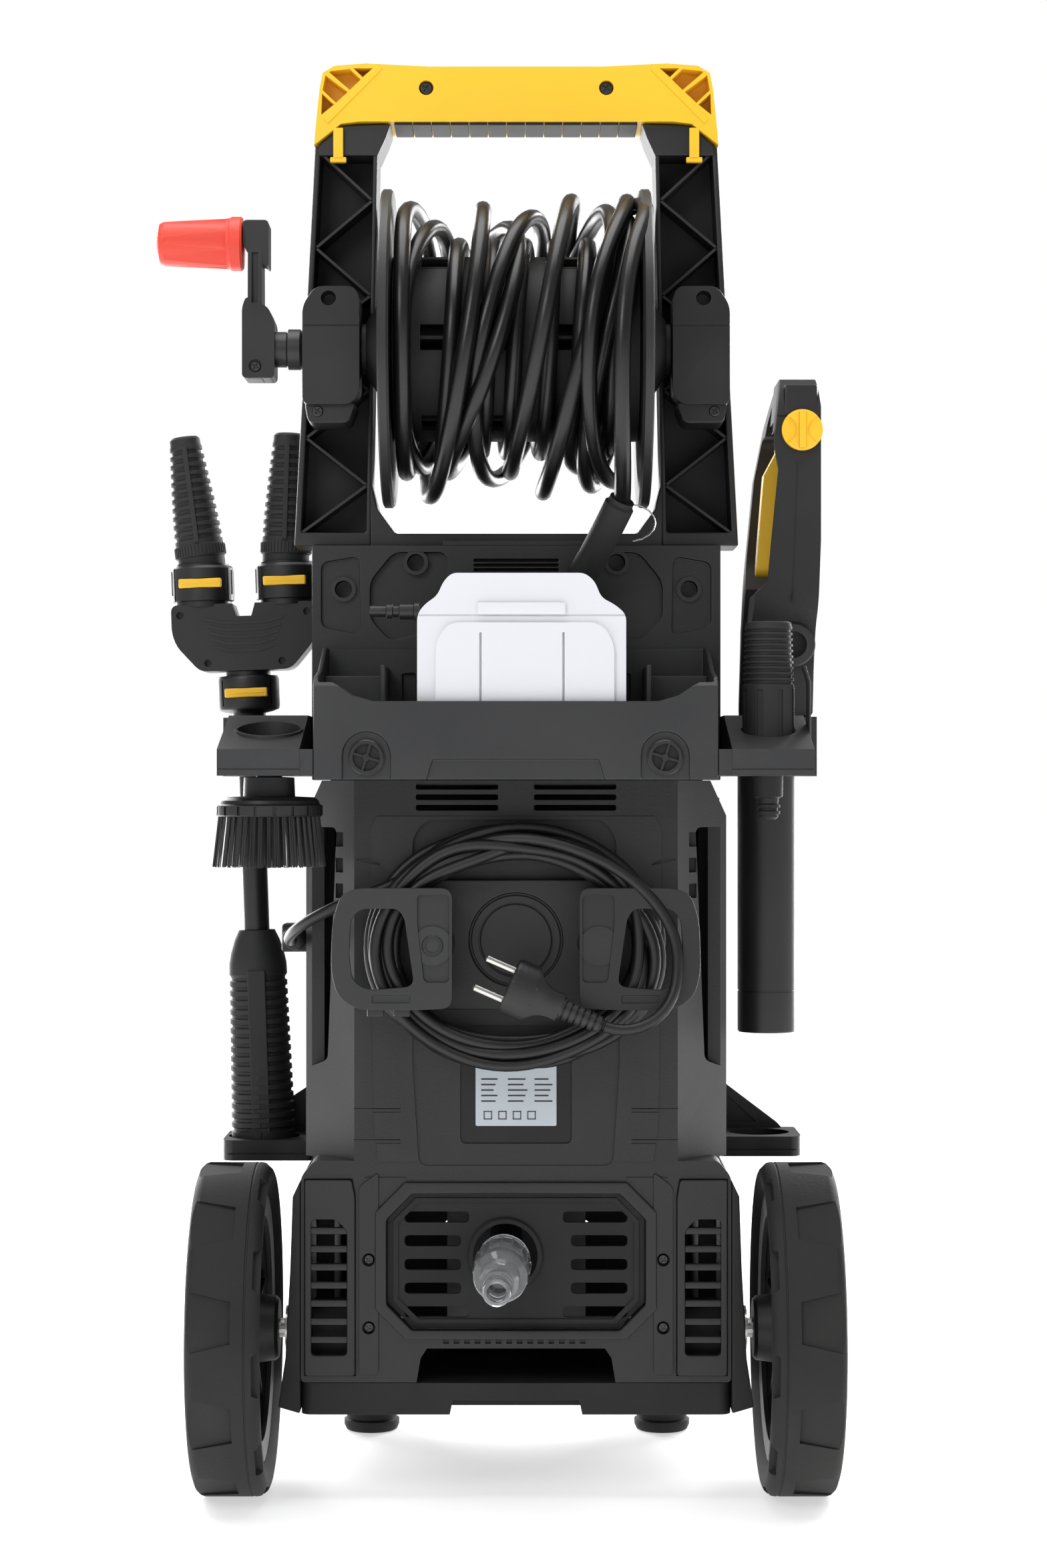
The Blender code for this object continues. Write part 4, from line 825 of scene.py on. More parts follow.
def build_handle(context):
    edge = context.scene.washer_sizes.edge
    low, high = span("handle_grip")
    post_low, post_high = span("post_right")
    rear = low.y

    half = [(0.129, low.z), (0.1275, 0.87), (0.1255, high.z - 0.016), (0.1235, high.z - 0.006), (0.116, high.z
        - 0.0015), (0.096, high.z), (0.056, high.z - 0.002)]
    inner = [(0.112, 0.8665), (0.1, 0.868)]
    outline = half + [(-x, z) for x, z in reversed(half)]
    outline += [(-x, z) for x, z in inner] + list(reversed(inner))
    bar = prism("XZ", outline, rear, high.y)
    pockets = []
    for s in (-1, 1):
        for pocket in ([(0.0915, 0.902), (0.104, 0.902), (0.098, 0.8962)], [(0.1062, 0.9015), (0.118, 0.9002),
            (0.1195, 0.8995), (0.1062, 0.888), (0.0992, 0.8948)], [(0.1218, 0.8975), (0.1236, 0.888), (0.115, 0.8798),
            (0.1075, 0.8868)], [(0.124, 0.8858), (0.1245, 0.8722), (0.1162, 0.8788)],):
            pockets.append(prism("XZ", [(s * x, z) for x, z in pocket], rear - 0.01, rear + 0.016))
        pockets.append(rod("Y", (s * 0.0575, 0, 0.8895), 0.0047, rear - 0.01, rear + 0.006, 24))
    settle("grip_bar", carved(bar, cuts=pockets, edge=edge * 1.6), "yellow", "root", ["handle_grip"])
    raised = [strut((s * 0.0868, 0.903), (s * 0.1215, 0.868), 0.0042, rear - 0.0006, rear + 0.004) for s in (-1, 1)]
    raised += [block((s * 0.1105, s * 0.1168), (rear - 0.0002, rear + 0.0044), (0.844, 0.864)) for s in (-1, 1)]
    raised += [block((s * 0.1085, s * 0.1188), (rear - 0.0002, rear + 0.0044), (0.842, 0.8452)) for s in (-1, 1)]
    settle("grip_bands", rounded(together(*raised), 0.0005), "yellow", "root")
    settle("grip_screws", together(*[cross_screw((s * 0.0575, rear + 0.0018, 0.8895), 0.0044) for s in (-1, 1)]),
        "dark steel", "root")
    pad = [block((x, x + 0.0114), (rear + 0.003, high.y - 0.006), (0.8662, 0.869), 0.0005) for x in [-0.078 + 0.012
        * number for number in range(13)]]
    settle("grip_pad", together(*pad), "grip", "root", slot="black_plastic")

    for side, s in SIDES:
        outline = [(0.142, post_low.z), (0.1287, post_high.z), (0.0885, post_high.z), (0.0935, post_low.z)]
        channel = [(0.1375, 0.606), (0.1252, 0.849), (0.0915, 0.849), (0.0962, 0.606)]
        body = prism("XZ", [(s * x, z) for x, z in outline], post_low.y, post_high.y)
        hollow = prism("XZ", [(s * x, z) for x, z in channel], post_low.y - 0.01, post_low.y + 0.027)
        shell = carved(body, cuts=[hollow], edge=edge)
        ribs = []
        places = [0.849 - 0.0304 * number for number in range(9)]
        for number, (top, bottom) in enumerate(zip(places, places[1:])):
            def wall(z, outer):
                t = (z - 0.606) / 0.243
                return 0.1375 - 0.0123 * t if outer else 0.0962 - 0.0047 * t
            outer = number % 2 == 0
            ribs.append(strut((s * wall(top, outer), top), (s * wall(bottom, not outer), bottom), 0.0017, post_low.y
                + 0.002, post_low.y + 0.028))
        head = prism("XZ", [(s * x, z) for x, z in ((0.0885, post_high.z - 0.006), (0.083, post_high.z + 0.006),
            (0.08, 0.8672), (0.111, 0.866), (0.1268, 0.8532), (0.1268, post_high.z - 0.006))], post_low.y - 0.0008,
            post_high.y - 0.002, edge)
        settle(f"post_frame_{side}", together(shell, head, *ribs), "casing", "root", [f"post_{side}"])
        # The web is a thin dark sheet at the back of the channel: painted shade.
        back = prism("XZ", [(s * x, z) for x, z in channel], post_low.y + 0.0266, post_low.y + 0.0274)
        settle(f"post_web_{side}", back, "deep", "root", slot="black_plastic")

    deck_low, deck_high = span("top_deck")
    rear, top = deck_low.y, deck_high.z - 0.008
    deck = block((deck_low.x, deck_high.x), (rear, deck_high.y), (deck_low.z, top))
    room = block((deck_low.x + WALL, deck_high.x - WALL), (rear + 0.0125, deck_high.y + 0.01), (deck_low.z - 0.01, top
        - WALL))
    cuts = [room]
    for s in (-1, 1):
        cuts.append(soft_plate([(s * 0.044, 0.545), (s * 0.08, 0.536), (s * 0.093, 0.55), (s * 0.093, 0.574),
            (s * 0.078, 0.5925), (s * 0.044, 0.5925)], 0.006, rear - 0.01, rear + 0.005))
        cuts.append(soft_plate([(s * 0.099, 0.54), (s * 0.124, 0.545), (s * 0.124, 0.586), (s * 0.1, 0.59)], 0.005,
            rear - 0.01, rear + 0.003))
        for x, z in ((0.064, 0.586), (0.11, 0.569)):
            cuts.append(rod("Y", (s * x, 0, z), 0.0055, rear - 0.01, rear + 0.012, 28))
    cuts += [block((-0.027, 0.027), (rear - 0.01, rear + 0.006), (z, z + 0.0016)) for z in (0.5775, 0.5805, 0.5835,
        0.5865)]
    bosses = [rod("Y", (s * x, 0, z), 0.008, rear + 0.0005, rear + 0.01, 28) for s in (-1, 1) for x, z in ((0.064,
        0.586), (0.11, 0.569))]
    shell = carved(deck, cuts=cuts, edge=edge)
    rings = carved(together(*bosses), cuts=[rod("Y", (s * x, 0, z), 0.0055, rear - 0.01, rear + 0.02, 28) for s
        in (-1, 1) for x, z in ((0.064, 0.586), (0.11, 0.569))])
    bar = prism("XZ", [(-0.0935, 0.64), (-0.0885, 0.621), (-0.077, 0.6052), (0.077, 0.6052), (0.0885, 0.621),
        (0.0935, 0.64), (0.0935, 0.596), (-0.0935, 0.596)], post_low.y, post_high.y, edge)
    lip = [block((-0.047, 0.047), (rear + 0.001, rear + 0.005), (0.5965, 0.6), 0.0008)]
    settle("upper_deck", together(shell, rings, bar, *lip), "casing", "root", ["top_deck"])


class WASHER_OT_handle(bpy.types.Operator):
    """Yellow grip, the two posts and the upper deck"""

    bl_idname = "washer.handle"
    bl_label = "Handle"

    def execute(self, context):
        build_handle(context)
        return {"FINISHED"}


def build_reel(context):
    edge = context.scene.washer_sizes.edge
    for side, s in SIDES:
        low, high = span(f"bearing_{side}")
        near, far = (low.x, high.x) if s > 0 else (high.x, low.x)
        outline = rounded_outline([(near, low.z + 0.006), (near + s * 0.006, low.z), (far, low.z), (far, high.z
            - 0.012), (far - s * 0.008, high.z), (near + s * 0.004, high.z), (near, high.z - 0.006)], 0.005)
        housing = prism("XZ", outline, low.y, high.y)
        bore = rod("X", REEL, 0.0113, min(near, far) - 0.01, max(near, far) + 0.01)
        hole = rod("Y", (s * 0.1175, 0, 0.7495), 0.0046, low.y - 0.01, low.y + 0.016)
        line = block((near - s * 0.001, far + s * 0.001), (low.y - 0.001, low.y + 0.0008), (REEL.z + 0.012, REEL.z
            + 0.0128))
        shell = carved(housing, cuts=[bore, hole, line], edge=edge * 1.4)
        tab = soft_plate([(s * 0.105, 0.6715), (s * 0.1305, 0.6715), (s * 0.133, 0.685), (s * 0.1, 0.685)], 0.004,
            low.y + 0.004, high.y, edge)
        collar = turned("X", REEL, [(0.0114, s * 0.0945), (0.016, s * 0.0945), (0.016, s * 0.0972), (0.0114, s
            * 0.0979)], 40)
        settle(f"bearing_housing_{side}", together(shell, tab), "smooth", "root", [f"bearing_{side}"], "black_plastic")
        settle(f"bearing_ring_{side}", collar, "deep", "reel")
        settle(f"bearing_screw_{side}", cross_screw((s * 0.1245, low.y + 0.003, 0.679), 0.0038), "dark steel", "root")

        face, out = s * 0.077, s * 0.084
        disc = [(0.012, face), (0.056, face), (0.058, face + s * 0.0008), (0.093, face + s * 0.0008), (0.095, face),
            (0.0985, face), (0.1, face + s * 0.0015), (0.1, out - s * 0.001), (0.0985, out), (0.0955, out),
            (0.094, out - s * 0.004), (0.038, out - s * 0.004), (0.03, out + s * 0.002), (0.0175, out + s * 0.0105),
            (0.0165, s * 0.0945), (0.012, s * 0.0945)]
        plate = turned("X", REEL, disc, 72)
        rib = block((out - s * 0.0042, out - s * 0.0002), (REEL.y - 0.001, REEL.y + 0.001), (REEL.z + 0.03, REEL.z
            + 0.095))
        settle(f"reel_flange_{side}", together(plate, ring_of(rib, 10, "X", REEL, 0.2)), "casing", "reel",
            [f"flange_{side}"])

    wall = [(0.0545, -0.0765), (0.058, -0.0765), (0.058, 0.0765), (0.0545, 0.0765)]
    shell = turned("X", REEL, wall, 60)
    window = block((-0.011, 0.011), (REEL.y - 0.08, REEL.y - 0.03), (REEL.z - 0.008, REEL.z + 0.008))
    windows = []
    for along in (-0.048, -0.0065, 0.035):
        copy = shifted(window.copy(), (along, 0, 0))
        windows.append(ring_of(copy, 6, "X", REEL))
    window.free()
    shell = carved(shell, cuts=windows, edge=0.0)
    rib = block((-0.0765, 0.0765), (REEL.y - 0.001, REEL.y + 0.001), (REEL.z + 0.012, REEL.z + 0.055))
    sleeve = turned("X", REEL, [(0.0112, -0.0765), (0.015, -0.0765), (0.015, 0.0765), (0.0112, 0.0765)], 32)
    settle("drum_shell", together(shell, sleeve, ring_of(rib, 6, "X", REEL, 0.52)), "deep", "reel", ["reel_drum"],
        "black_plastic")

    low, high = span("crank_arm")
    top = high.z
    y = REEL.y
    arm = prism("YZ", rounded_outline([(y - 0.0125, REEL.z - 0.02), (y + 0.0125, REEL.z - 0.02), (y + 0.0125, REEL.z
        + 0.022), (y + 0.01, top - 0.006), (y + 0.0045, top), (y - 0.0045, top), (y - 0.01, top - 0.006), (y - 0.0125,
        REEL.z + 0.022)], 0.004), -0.169, -0.16)
    foot = soft_plate([(-0.1725, 0.7005), (-0.152, 0.7005), (-0.152, 0.736), (-0.156, 0.745), (-0.17, 0.752),
        (-0.1725, 0.745)], 0.003, y - 0.0135, y + 0.0135)
    head = soft_plate([(-0.1722, 0.784), (-0.156, 0.77), (-0.156, 0.8005), (-0.1722, 0.8005)], 0.003, y - 0.0105, y
        + 0.0105)
    groove = block((-0.1665, -0.1625), (y - 0.02, y - 0.0085), (0.748, 0.78))
    screw_hole = rod("Y", (-0.164, 0, 0.708), 0.0042, y - 0.02, y - 0.0115)
    shape = carved(arm, cuts=[groove, screw_hole], adds=[foot, head], edge=edge)
    collar = turned("X", REEL, [(0.0, -0.1345), (0.011, -0.1345), (0.0128, -0.1365), (0.0128, -0.144), (0.0112,
        -0.145), (0.0112, -0.1519), (0.0, -0.1519)], 40)
    settle("crank_frame", together(shape, collar), "smooth", "reel", ["crank_arm"], "grey_plastic")
    settle("crank_screw", cross_screw((-0.164, y - 0.0125, 0.708), 0.0036), "dark steel", "reel")

    low, high = span("crank_grip")
    axis = (0, REEL.y, (low.z + high.z) / 2)
    tip, root_x = low.x, high.x
    profile = [(0.0, tip), (0.0108, tip), (0.0128, tip + 0.0012), (0.0138, tip + 0.004), (0.015, tip + 0.025),
        (0.0161, root_x - 0.0085), (0.017, root_x - 0.007), (0.017, root_x - 0.0012), (0.016, root_x), (0.0, root_x)]
    knob = turned("X", axis, profile, 72)
    cut = rod("X", (0, axis[1], axis[2] + 0.0225), 0.009, tip + 0.0045, root_x - 0.01, 24, 0.0094)
    ring = turned("X", axis, [(0.0165, root_x - 0.0078), (0.018, root_x - 0.0078), (0.018, root_x - 0.007),
        (0.0165, root_x - 0.007)], 60)
    knob = carved(knob, cuts=[ring_of(cut, 8, "X", axis), ring], edge=0.0005)
    settle("crank_handle_grip", knob, "red", "crank_handle", ["crank_grip"])


class WASHER_OT_reel(bpy.types.Operator):
    """Bearings, flanges, drum and crank of the hose reel"""

    bl_idname = "washer.reel"
    bl_label = "Hose reel"

    def execute(self, context):
        build_reel(context)
        return {"FINISHED"}


# Gun and lance

LANCE_FOOT = (-0.1676, 0.05, 0.2042)
LANCE_PLACE = Matrix.Translation(LANCE_FOOT) @ Matrix.Rotation(-math.radians(2.0), 4, "Y")
TWIN_HALF = 0.0278
SOCKET_Z = (0.3612 + 0.3876) / 2
LOW_Z = (0.29 + 0.3125) / 2


def left_edge_cut(points, y):
    """What lies to the left of a line of (x, z) points, over the given stretch of Y."""
    return prism("XZ", list(points) + [(0.1, points[-1][1]), (0.1, points[0][1])], *y)


def build_gun(context):
    edge = context.scene.washer_sizes.edge
    low, high = span("gun_body")
    seat, top = low.z, high.z
    side = rounded_outline([(-0.022, seat), (0.022, seat), (0.03, 0.545), (0.055, 0.58), (0.055, top - 0.014),
        (0.045, top), (-0.035, top), (-0.045, top - 0.014), (-0.045, 0.56), (-0.028, 0.545),], 0.012)
    body = prism("YZ", side, 0.144, high.x)
    gap = prism("YZ", rounded_outline([(-0.012, 0.572), (0.02, 0.572), (0.04, 0.59), (0.04, 0.672), (-0.012, 0.672)],
        0.008), 0.13, 0.21)
    cuts = [gap, left_edge_cut([(0.148, 0.48), (0.15, 0.545), (0.152, 0.566), (0.16, 0.574), (0.1668, 0.645),
        (0.164, 0.662), (0.169, 0.71)], (-0.06, 0.015)), left_edge_cut([(0.145, 0.48), (0.1475, 0.545), (0.15, 0.572),
        (0.157, 0.645), (0.164, 0.68), (0.172, 0.71)], (0.0149, 0.07)), prism("XZ", [(0.1895, 0.48), (0.1915, 0.545),
        (0.1935, 0.6), (0.1935, 0.685), (0.19, 0.71), (0.22, 0.71), (0.22, 0.48)], -0.06, 0.07), block((0.14, 0.182),
        (-0.036, -0.01), (0.574, 0.6705)), block((0.165, 0.182), (-0.016, 0.016), (0.669, 0.678)), block((0.1, 0.22),
        (-0.06, -0.044), (0.6784, 0.679)),]
    settle("gun_shell", carved(body, cuts=cuts, edge=edge * 2.2), "grip", "gun", ["gun_body"], "black_plastic",
        smooth=40)
    seam = prism("XZ", [(0.1752, 0.56), (0.1757, 0.56), (0.179, 0.65), (0.1785, 0.65)], -0.0454, -0.044)
    cap = block((0.17, 0.1915), (-0.0456, -0.04), (0.68, 0.699), 0.002)
    settle("gun_trim", together(seam, cap), "smooth", "gun", slot="black_plastic")
    boss = soft_plate([(0.1515, seat + 0.0004), (0.1898, seat + 0.0004), (0.1912, 0.552), (0.152, 0.552)], 0.003,
        -0.0275, -0.0215)
    port = turned("Y", (0.177, 0, 0.534), [(0.0085, -0.034), (0.013, -0.034), (0.014, -0.033), (0.014, -0.022),
        (0.0085, -0.022)], 40)
    boss = carved(boss, cuts=[rod("Y", (0.177, 0, 0.534), 0.012, -0.05, -0.01, 32)], edge=edge)
    settle("gun_inlet", together(boss, port), "tray", "gun")

    lever = [(-0.006, 0.676), (0.008, 0.676), (0.01, 0.64), (0.004, 0.59), (-0.004, 0.578), (-0.01, 0.582),
        (-0.004, 0.63)]
    blade = prism("YZ", rounded_outline(lever, 0.004), 0.149, 0.179)
    blade = carved(blade, cuts=[left_edge_cut([(0.1535, 0.57), (0.16, 0.645), (0.168, 0.66), (0.168, 0.69)],
        (-0.05, 0.05)),], edge=0.0012)
    settle("trigger_blade", blade, "yellow", "gun_trigger", ["trigger"])

    low, high = span("gun_knob")
    x, z, r = (low.x + high.x) / 2, (low.z + high.z) / 2, (high.x - low.x) / 2
    disc = turned("Y", (x, 0, z), [(0.0, high.y), (r - 0.0008, high.y), (r, high.y - 0.0012), (r, low.y + 0.003),
        (r - 0.0015, low.y + 0.0022), (0.0, low.y + 0.0022)], 48)
    fin = block((x - 0.0022, x + 0.0022), (low.y, low.y + 0.004), (z - r + 0.0012, z + r - 0.0012), 0.0008)
    sides = [shifted(rod("Y", (x, 0, z), 0.009, low.y - 0.001, low.y + 0.0035, 32), (dx, 0, 0)) for dx in (-0.0125,
        0.0125)]
    settle("gun_round_knob", together(carved(disc, cuts=sides, edge=0.0004), fin), "yellow", "gun_dial", ["gun_knob"])

    low, high = span("gun_barrel")
    r = (high.x - low.x) / 2
    tube = turned("Z", centre_of("gun_barrel").to_2d().to_3d(), [(0.0, low.z + 0.06), (r - 0.006, low.z + 0.06),
        (r - 0.005, low.z + 0.002), (r - 0.002, low.z), (r - 0.0006, low.z), (r, low.z + 0.0012), (r, low.z + 0.026),
        (r - 0.0004, low.z + 0.0262), (r - 0.0004, low.z + 0.0272), (r, low.z + 0.0274), (r, high.z - 0.0004),
        (0.0, high.z - 0.0004)], 64)
    settle("gun_tube", together(tube), "smooth", "gun", ["gun_barrel"], "grey_plastic")


class WASHER_OT_gun(bpy.types.Operator):
    """Spray gun with its trigger, round knob and barrel"""

    bl_idname = "washer.gun"
    bl_label = "Spray gun"

    def execute(self, context):
        build_gun(context)
        return {"FINISHED"}


def build_lance(context):
    sizes = context.scene.washer_sizes
    edge = sizes.edge
    zero = (0, 0, 0)
    flat = Matrix.Diagonal((1.0, 0.92, 1.0, 1.0))

    core = [(0.0, 0.0), (0.018, 0.0), (0.0205, 0.0015), (0.0212, 0.006)]
    ribs = 17
    for number in range(ribs):
        z = 0.008 + number * 0.0062
        r = 0.0212 - 0.0022 * number / ribs
        core += [(r, z), (r, z + 0.003), (r - 0.0014, z + 0.0038), (r - 0.0014, z + 0.0054)]
    core += [(0.0192, 0.1148), (0.019, 0.122), (0.0176, 0.129), (0.015, 0.1375), (0.012, 0.144), (0.0, 0.144)]
    handle = turned("Z", zero, core, 56)
    smooth_sides = [block((-0.006, 0.006), (s * 0.0182, s * 0.0202), (0.006, 0.118), 0.001) for s in (-1, 1)]
    seam = block((-0.0003, 0.0003), (-0.0215, -0.0195), (0.001, 0.119))
    handle = carved(handle, cuts=[seam], edge=0.0)
    settle("lance_handle", moved(together(handle, *smooth_sides), LANCE_PLACE @ flat), "grip", "lance", ["lance_grip"],
        "black_plastic")

    tube = turned("Z", zero, [(0.0, 0.1443), (0.0085, 0.1443), (0.0085, 0.283), (0.0105, 0.2838), (0.011, 0.287),
        (0.011, 0.288), (0.016, 0.289), (0.02, 0.2905), (0.0205, 0.2925), (0.0205, 0.3105), (0.0195, 0.3125),
        (0.015, 0.313), (0.015, 0.3158), (0.0, 0.3158)], 56)
    room = block((-0.0143, 0.0143), (-0.03, -0.0142), (LOW_Z - 0.0033, LOW_Z + 0.0033))
    grooves = [block((s * 0.0155, s * 0.0162), (-0.03, 0.0), (0.293, 0.31)) for s in (-1, 1)]
    settle("lance_barrel", moved(carved(tube, cuts=[room, *grooves], edge=0.0004), LANCE_PLACE), "smooth", "lance",
        ["lance_tube"], "grey_plastic")

    half = TWIN_HALF + 0.0201
    outline = rounded_outline([(-0.03, 0.316), (0.03, 0.316), (half - 0.003, 0.333), (half, 0.342), (half, 0.3605),
        (-half, 0.3605), (-half, 0.342), (-half + 0.003, 0.333),], 0.005)
    core = prism("XZ", outline, -0.0165, 0.0165)
    cuts = [rod("Y", (x, 0, z), 0.0024, -0.03, -0.012, 20) for x, z in ((-half + 0.006, 0.3535), (half - 0.006,
        0.3535), (-0.0245, 0.3215), (0.0245, 0.3215))]
    cuts += [block((-half - 0.01, half + 0.01), (-0.0004, 0.0004), (0.315, 0.362)), prism("XZ", [(-0.0085, 0.364),
        (0.0085, 0.364), (0.005, 0.352), (-0.005, 0.352)], -0.03, 0.03)]
    core = carved(core, cuts=cuts, edge=edge * 1.5)
    ridges = []
    for number in range(5):
        z = 0.329 + number * 0.0046
        wide = 0.019 + number * 0.0018
        ridges += [strut((0.0, z), (s * wide * 0.55, z + 0.0004), 0.0016, -0.0173, -0.016) for s in (-1, 1)]
        ridges += [strut((s * wide * 0.55, z + 0.0004), (s * wide, z + 0.0032), 0.0016, -0.0173, -0.016) for s
            in (-1, 1)]
    sockets = []
    for s in (-1, 1):
        ring = turned("Z", (s * TWIN_HALF, 0, 0), [(0.0, 0.359), (0.0185, 0.359), (0.0185, 0.3625), (0.0205, 0.3632),
            (0.0205, 0.3845), (0.0192, 0.3862), (0.0175, 0.3862), (0.0175, 0.3876), (0.0, 0.3876)], 56)
        room = block((s * TWIN_HALF - 0.0143, s * TWIN_HALF + 0.0143), (-0.03, -0.0142), (SOCKET_Z - 0.0033, SOCKET_Z
            + 0.0033))
        notch = [block((s * TWIN_HALF + k * 0.017, s * TWIN_HALF + k * 0.0178), (-0.03, 0.03), (0.363, 0.385)) for k
            in (-1, 1)]
        ears = [block((s * TWIN_HALF + k * 0.019, s * TWIN_HALF + k * 0.0203), (-0.006, 0.006), (0.367, 0.3835),
            0.0006) for k in (-1, 1)]
        sockets += [carved(ring, cuts=[room, *notch], edge=0.0004), *ears]
    settle("twin_head", moved(together(core, *ridges, *sockets), LANCE_PLACE), "smooth", "lance", ["twin_body"],
        "grey_plastic")

    for name, x, z in (("left", -TWIN_HALF, SOCKET_Z), ("right", TWIN_HALF, SOCKET_Z), ("low", 0.0, LOW_Z)):
        bar = block((x - 0.014, x + 0.014), (-0.0205, -0.0165), (z - 0.003, z + 0.003), 0.001, 3)
        lip = block((x - 0.012, x + 0.012), (-0.0209, -0.02), (z - 0.0004, z + 0.0004), 0.0002)
        settle(f"release_bar_{name}", moved(together(bar, lip), LANCE_PLACE), "yellow", f"release_{name}",
            [f"button_{name}"])

    for side, s in SIDES:
        tilt = math.radians(-6.0 if s < 0 else 3.4)
        place = LANCE_PLACE @ Matrix.Translation((s * TWIN_HALF, 0, 0.3879)) @ Matrix.Rotation(tilt, 4, "Y")
        profile = [(0.0, -0.002), (0.015, -0.002), (0.0155, 0.0), (0.0155, 0.0045), (0.0165, 0.005), (0.0165, 0.0125),
            (0.0158, 0.013), (0.0158, 0.016)]
        count = sizes.nozzle_ribs
        start, end = 0.0165, 0.079
        for number in range(count):
            z = start + (end - start) * number / count
            step = (end - start) / count
            r = 0.0158 - 0.0056 * ((z - start) / (end - start)) ** 1.25
            profile += [(r - 0.0012, z), (r - 0.0012, z + step * 0.38), (r, z + step * 0.5), (r - 0.0001, z + step
                * 0.9)]
        profile += [(0.0102, 0.0795), (0.01, 0.0835), (0.0085, 0.085), (0.0058, 0.085), (0.005, 0.08), (0.0, 0.08)]
        cone = turned("Z", zero, profile, 60)
        teeth = ring_of(block((0.0158, 0.017), (-0.0005, 0.0005), (0.0055, 0.012), 0.0002, 1), 44, "Z", zero)
        spine = prism("YZ", [(-0.0174, 0.014), (-0.015, 0.014), (-0.01, 0.078), (-0.0119, 0.078)], -0.0016, 0.0016,
            0.0004)
        settle(f"spray_nozzle_{side}", moved(together(cone, teeth, spine), place), "grip", "lance", [f"nozzle_{side}"],
            "grey_plastic")


class WASHER_OT_lance(bpy.types.Operator):
    """Lance with its ribbed grip, twin head and two spray nozzles"""

    bl_idname = "washer.lance"
    bl_label = "Lance"

    def execute(self, context):
        build_lance(context)
        return {"FINISHED"}


# Stored attachments


def build_attachments(context):
    low, high = span("fan_nozzle")
    x, y, z = centre_of("fan_nozzle")
    top = high.z
    profile = [(0.0, low.z), (0.0045, low.z), (0.006, low.z + 0.0015), (0.006, low.z + 0.003), (0.0072, low.z
        + 0.0034), (0.0072, low.z + 0.005), (0.0058, low.z + 0.0054), (0.0058, low.z + 0.007), (0.0072, low.z
        + 0.0074), (0.0072, low.z + 0.009), (0.006, low.z + 0.0094), (0.0064, low.z + 0.013), (0.0088, low.z + 0.014),
        (0.0096, 0.4676), (0.014, 0.4678), (0.0158, 0.469), (0.016, 0.476), (0.016, 0.5045), (0.0157, 0.506)]
    for number in range(10):
        r = 0.0157 - 0.00012 * number
        at = 0.5068 + number * 0.0035
        profile += [(r - 0.0011, at), (r - 0.0011, at + 0.0015), (r, at + 0.0019), (r, at + 0.0032)]
    profile += [(0.0142, 0.5425), (0.014, top - 0.0008), (0.013, top), (0.007, top), (0.006, top - 0.006),
        (0.0, top - 0.006)]
    cone = turned("Z", (x, y, 0), profile, 56)
    flutes = ring_of(block((x - 0.0018, x + 0.0018), (y - 0.017, y - 0.0153), (0.474, 0.503)), 8, "Z", (x, y, 0), 0.39)
    settle("fan_nozzle_body", carved(cone, cuts=[flutes], edge=0.0), "grip", "fan_lance", ["fan_nozzle"],
        "grey_plastic")

    rings = context.scene.washer_sizes.bristle_rings
    low, high = span("brush_head")
    x, y, _ = centre_of("brush_head")
    tips, under = low.z, 0.425
    cap = turned("Z", (x, y, 0), [(0.0, under), (0.0318, under), (0.033, under + 0.001), (0.033, under + 0.0068),
        (0.0312, under + 0.0076), (0.0305, under + 0.0098), (0.028, under + 0.0118), (0.016, under + 0.0124),
        (0.0155, 0.449), (0.008, 0.4494), (0.008, high.z - 0.001), (0.007, high.z), (0.0, high.z)], 64)
    notches = ring_of(block((x + 0.0318, x + 0.034), (y - 0.001, y + 0.001), (under + 0.0008, under + 0.0062)), 18,
        "Z", (x, y, 0))
    settle("brush_cap", carved(cap, cuts=[notches], edge=0.0003), "casing", "brush", ["brush_head"])
    tufts = []
    for ring in range(rings):
        reach = 0.0305 - 0.0055 * ring
        count = round(reach * 1350)
        for number in range(count):
            for strand in range(4):
                jitter = noise.noise_vector(Vector((number * 3.7 + ring * 11.1, strand * 5.3, 0.7)))
                angle = math.tau * (number + 0.12 * strand + 0.25 * jitter.x) / count
                foot = Vector((math.cos(angle), math.sin(angle), 0)) * (reach + 0.0007 * jitter.y)
                tip = foot * (1.13 + 0.05 * jitter.z) + Vector((0.0006 * jitter.z, 0.0006 * jitter.x, 0))
                tip = tip.normalized() * min(tip.length, 0.0347)
                base = Vector((x, y, under + 0.0005)) + foot
                end = Vector((x, y, tips + 0.0008 + 0.0008 * abs(jitter.y))) + tip
                line = end - base
                turn = line.to_track_quat("Z", "Y").to_matrix().to_4x4()
                bm = bmesh.new()
                bmesh.ops.create_cone(bm, cap_ends=True, segments=4, radius1=0.0005, radius2=0.00034,
                    depth=line.length, matrix=Matrix.Translation((base + end) / 2) @ turn)
                tufts.append(bm)
    settle("brush_bristles", together(*tufts), "bristle", "brush", slot="grey_plastic")


class WASHER_OT_attachments(bpy.types.Operator):
    """Fan nozzle and round brush"""

    bl_idname = "washer.attachments"
    bl_label = "Nozzle and brush"

    def execute(self, context):
        build_attachments(context)
        return {"FINISHED"}


# Tray, holders and bottle


def holder_shape(s, reach, y):
    """Part of a holder's sloped plate, from the casing out to reach and over the given stretch of Y."""
    bend = -0.07

    def top(at):
        return min(0.488, 0.466 + (at + 0.15) * 0.275)

    outline = [(y[0], 0.45), (y[1], 0.45), (y[1], top(y[1]))]
    if y[0] < bend < y[1]:
        outline.append((bend, 0.488))
    outline.append((y[0], top(y[0])))
    return prism("YZ", outline, s * 0.1303, s * reach)


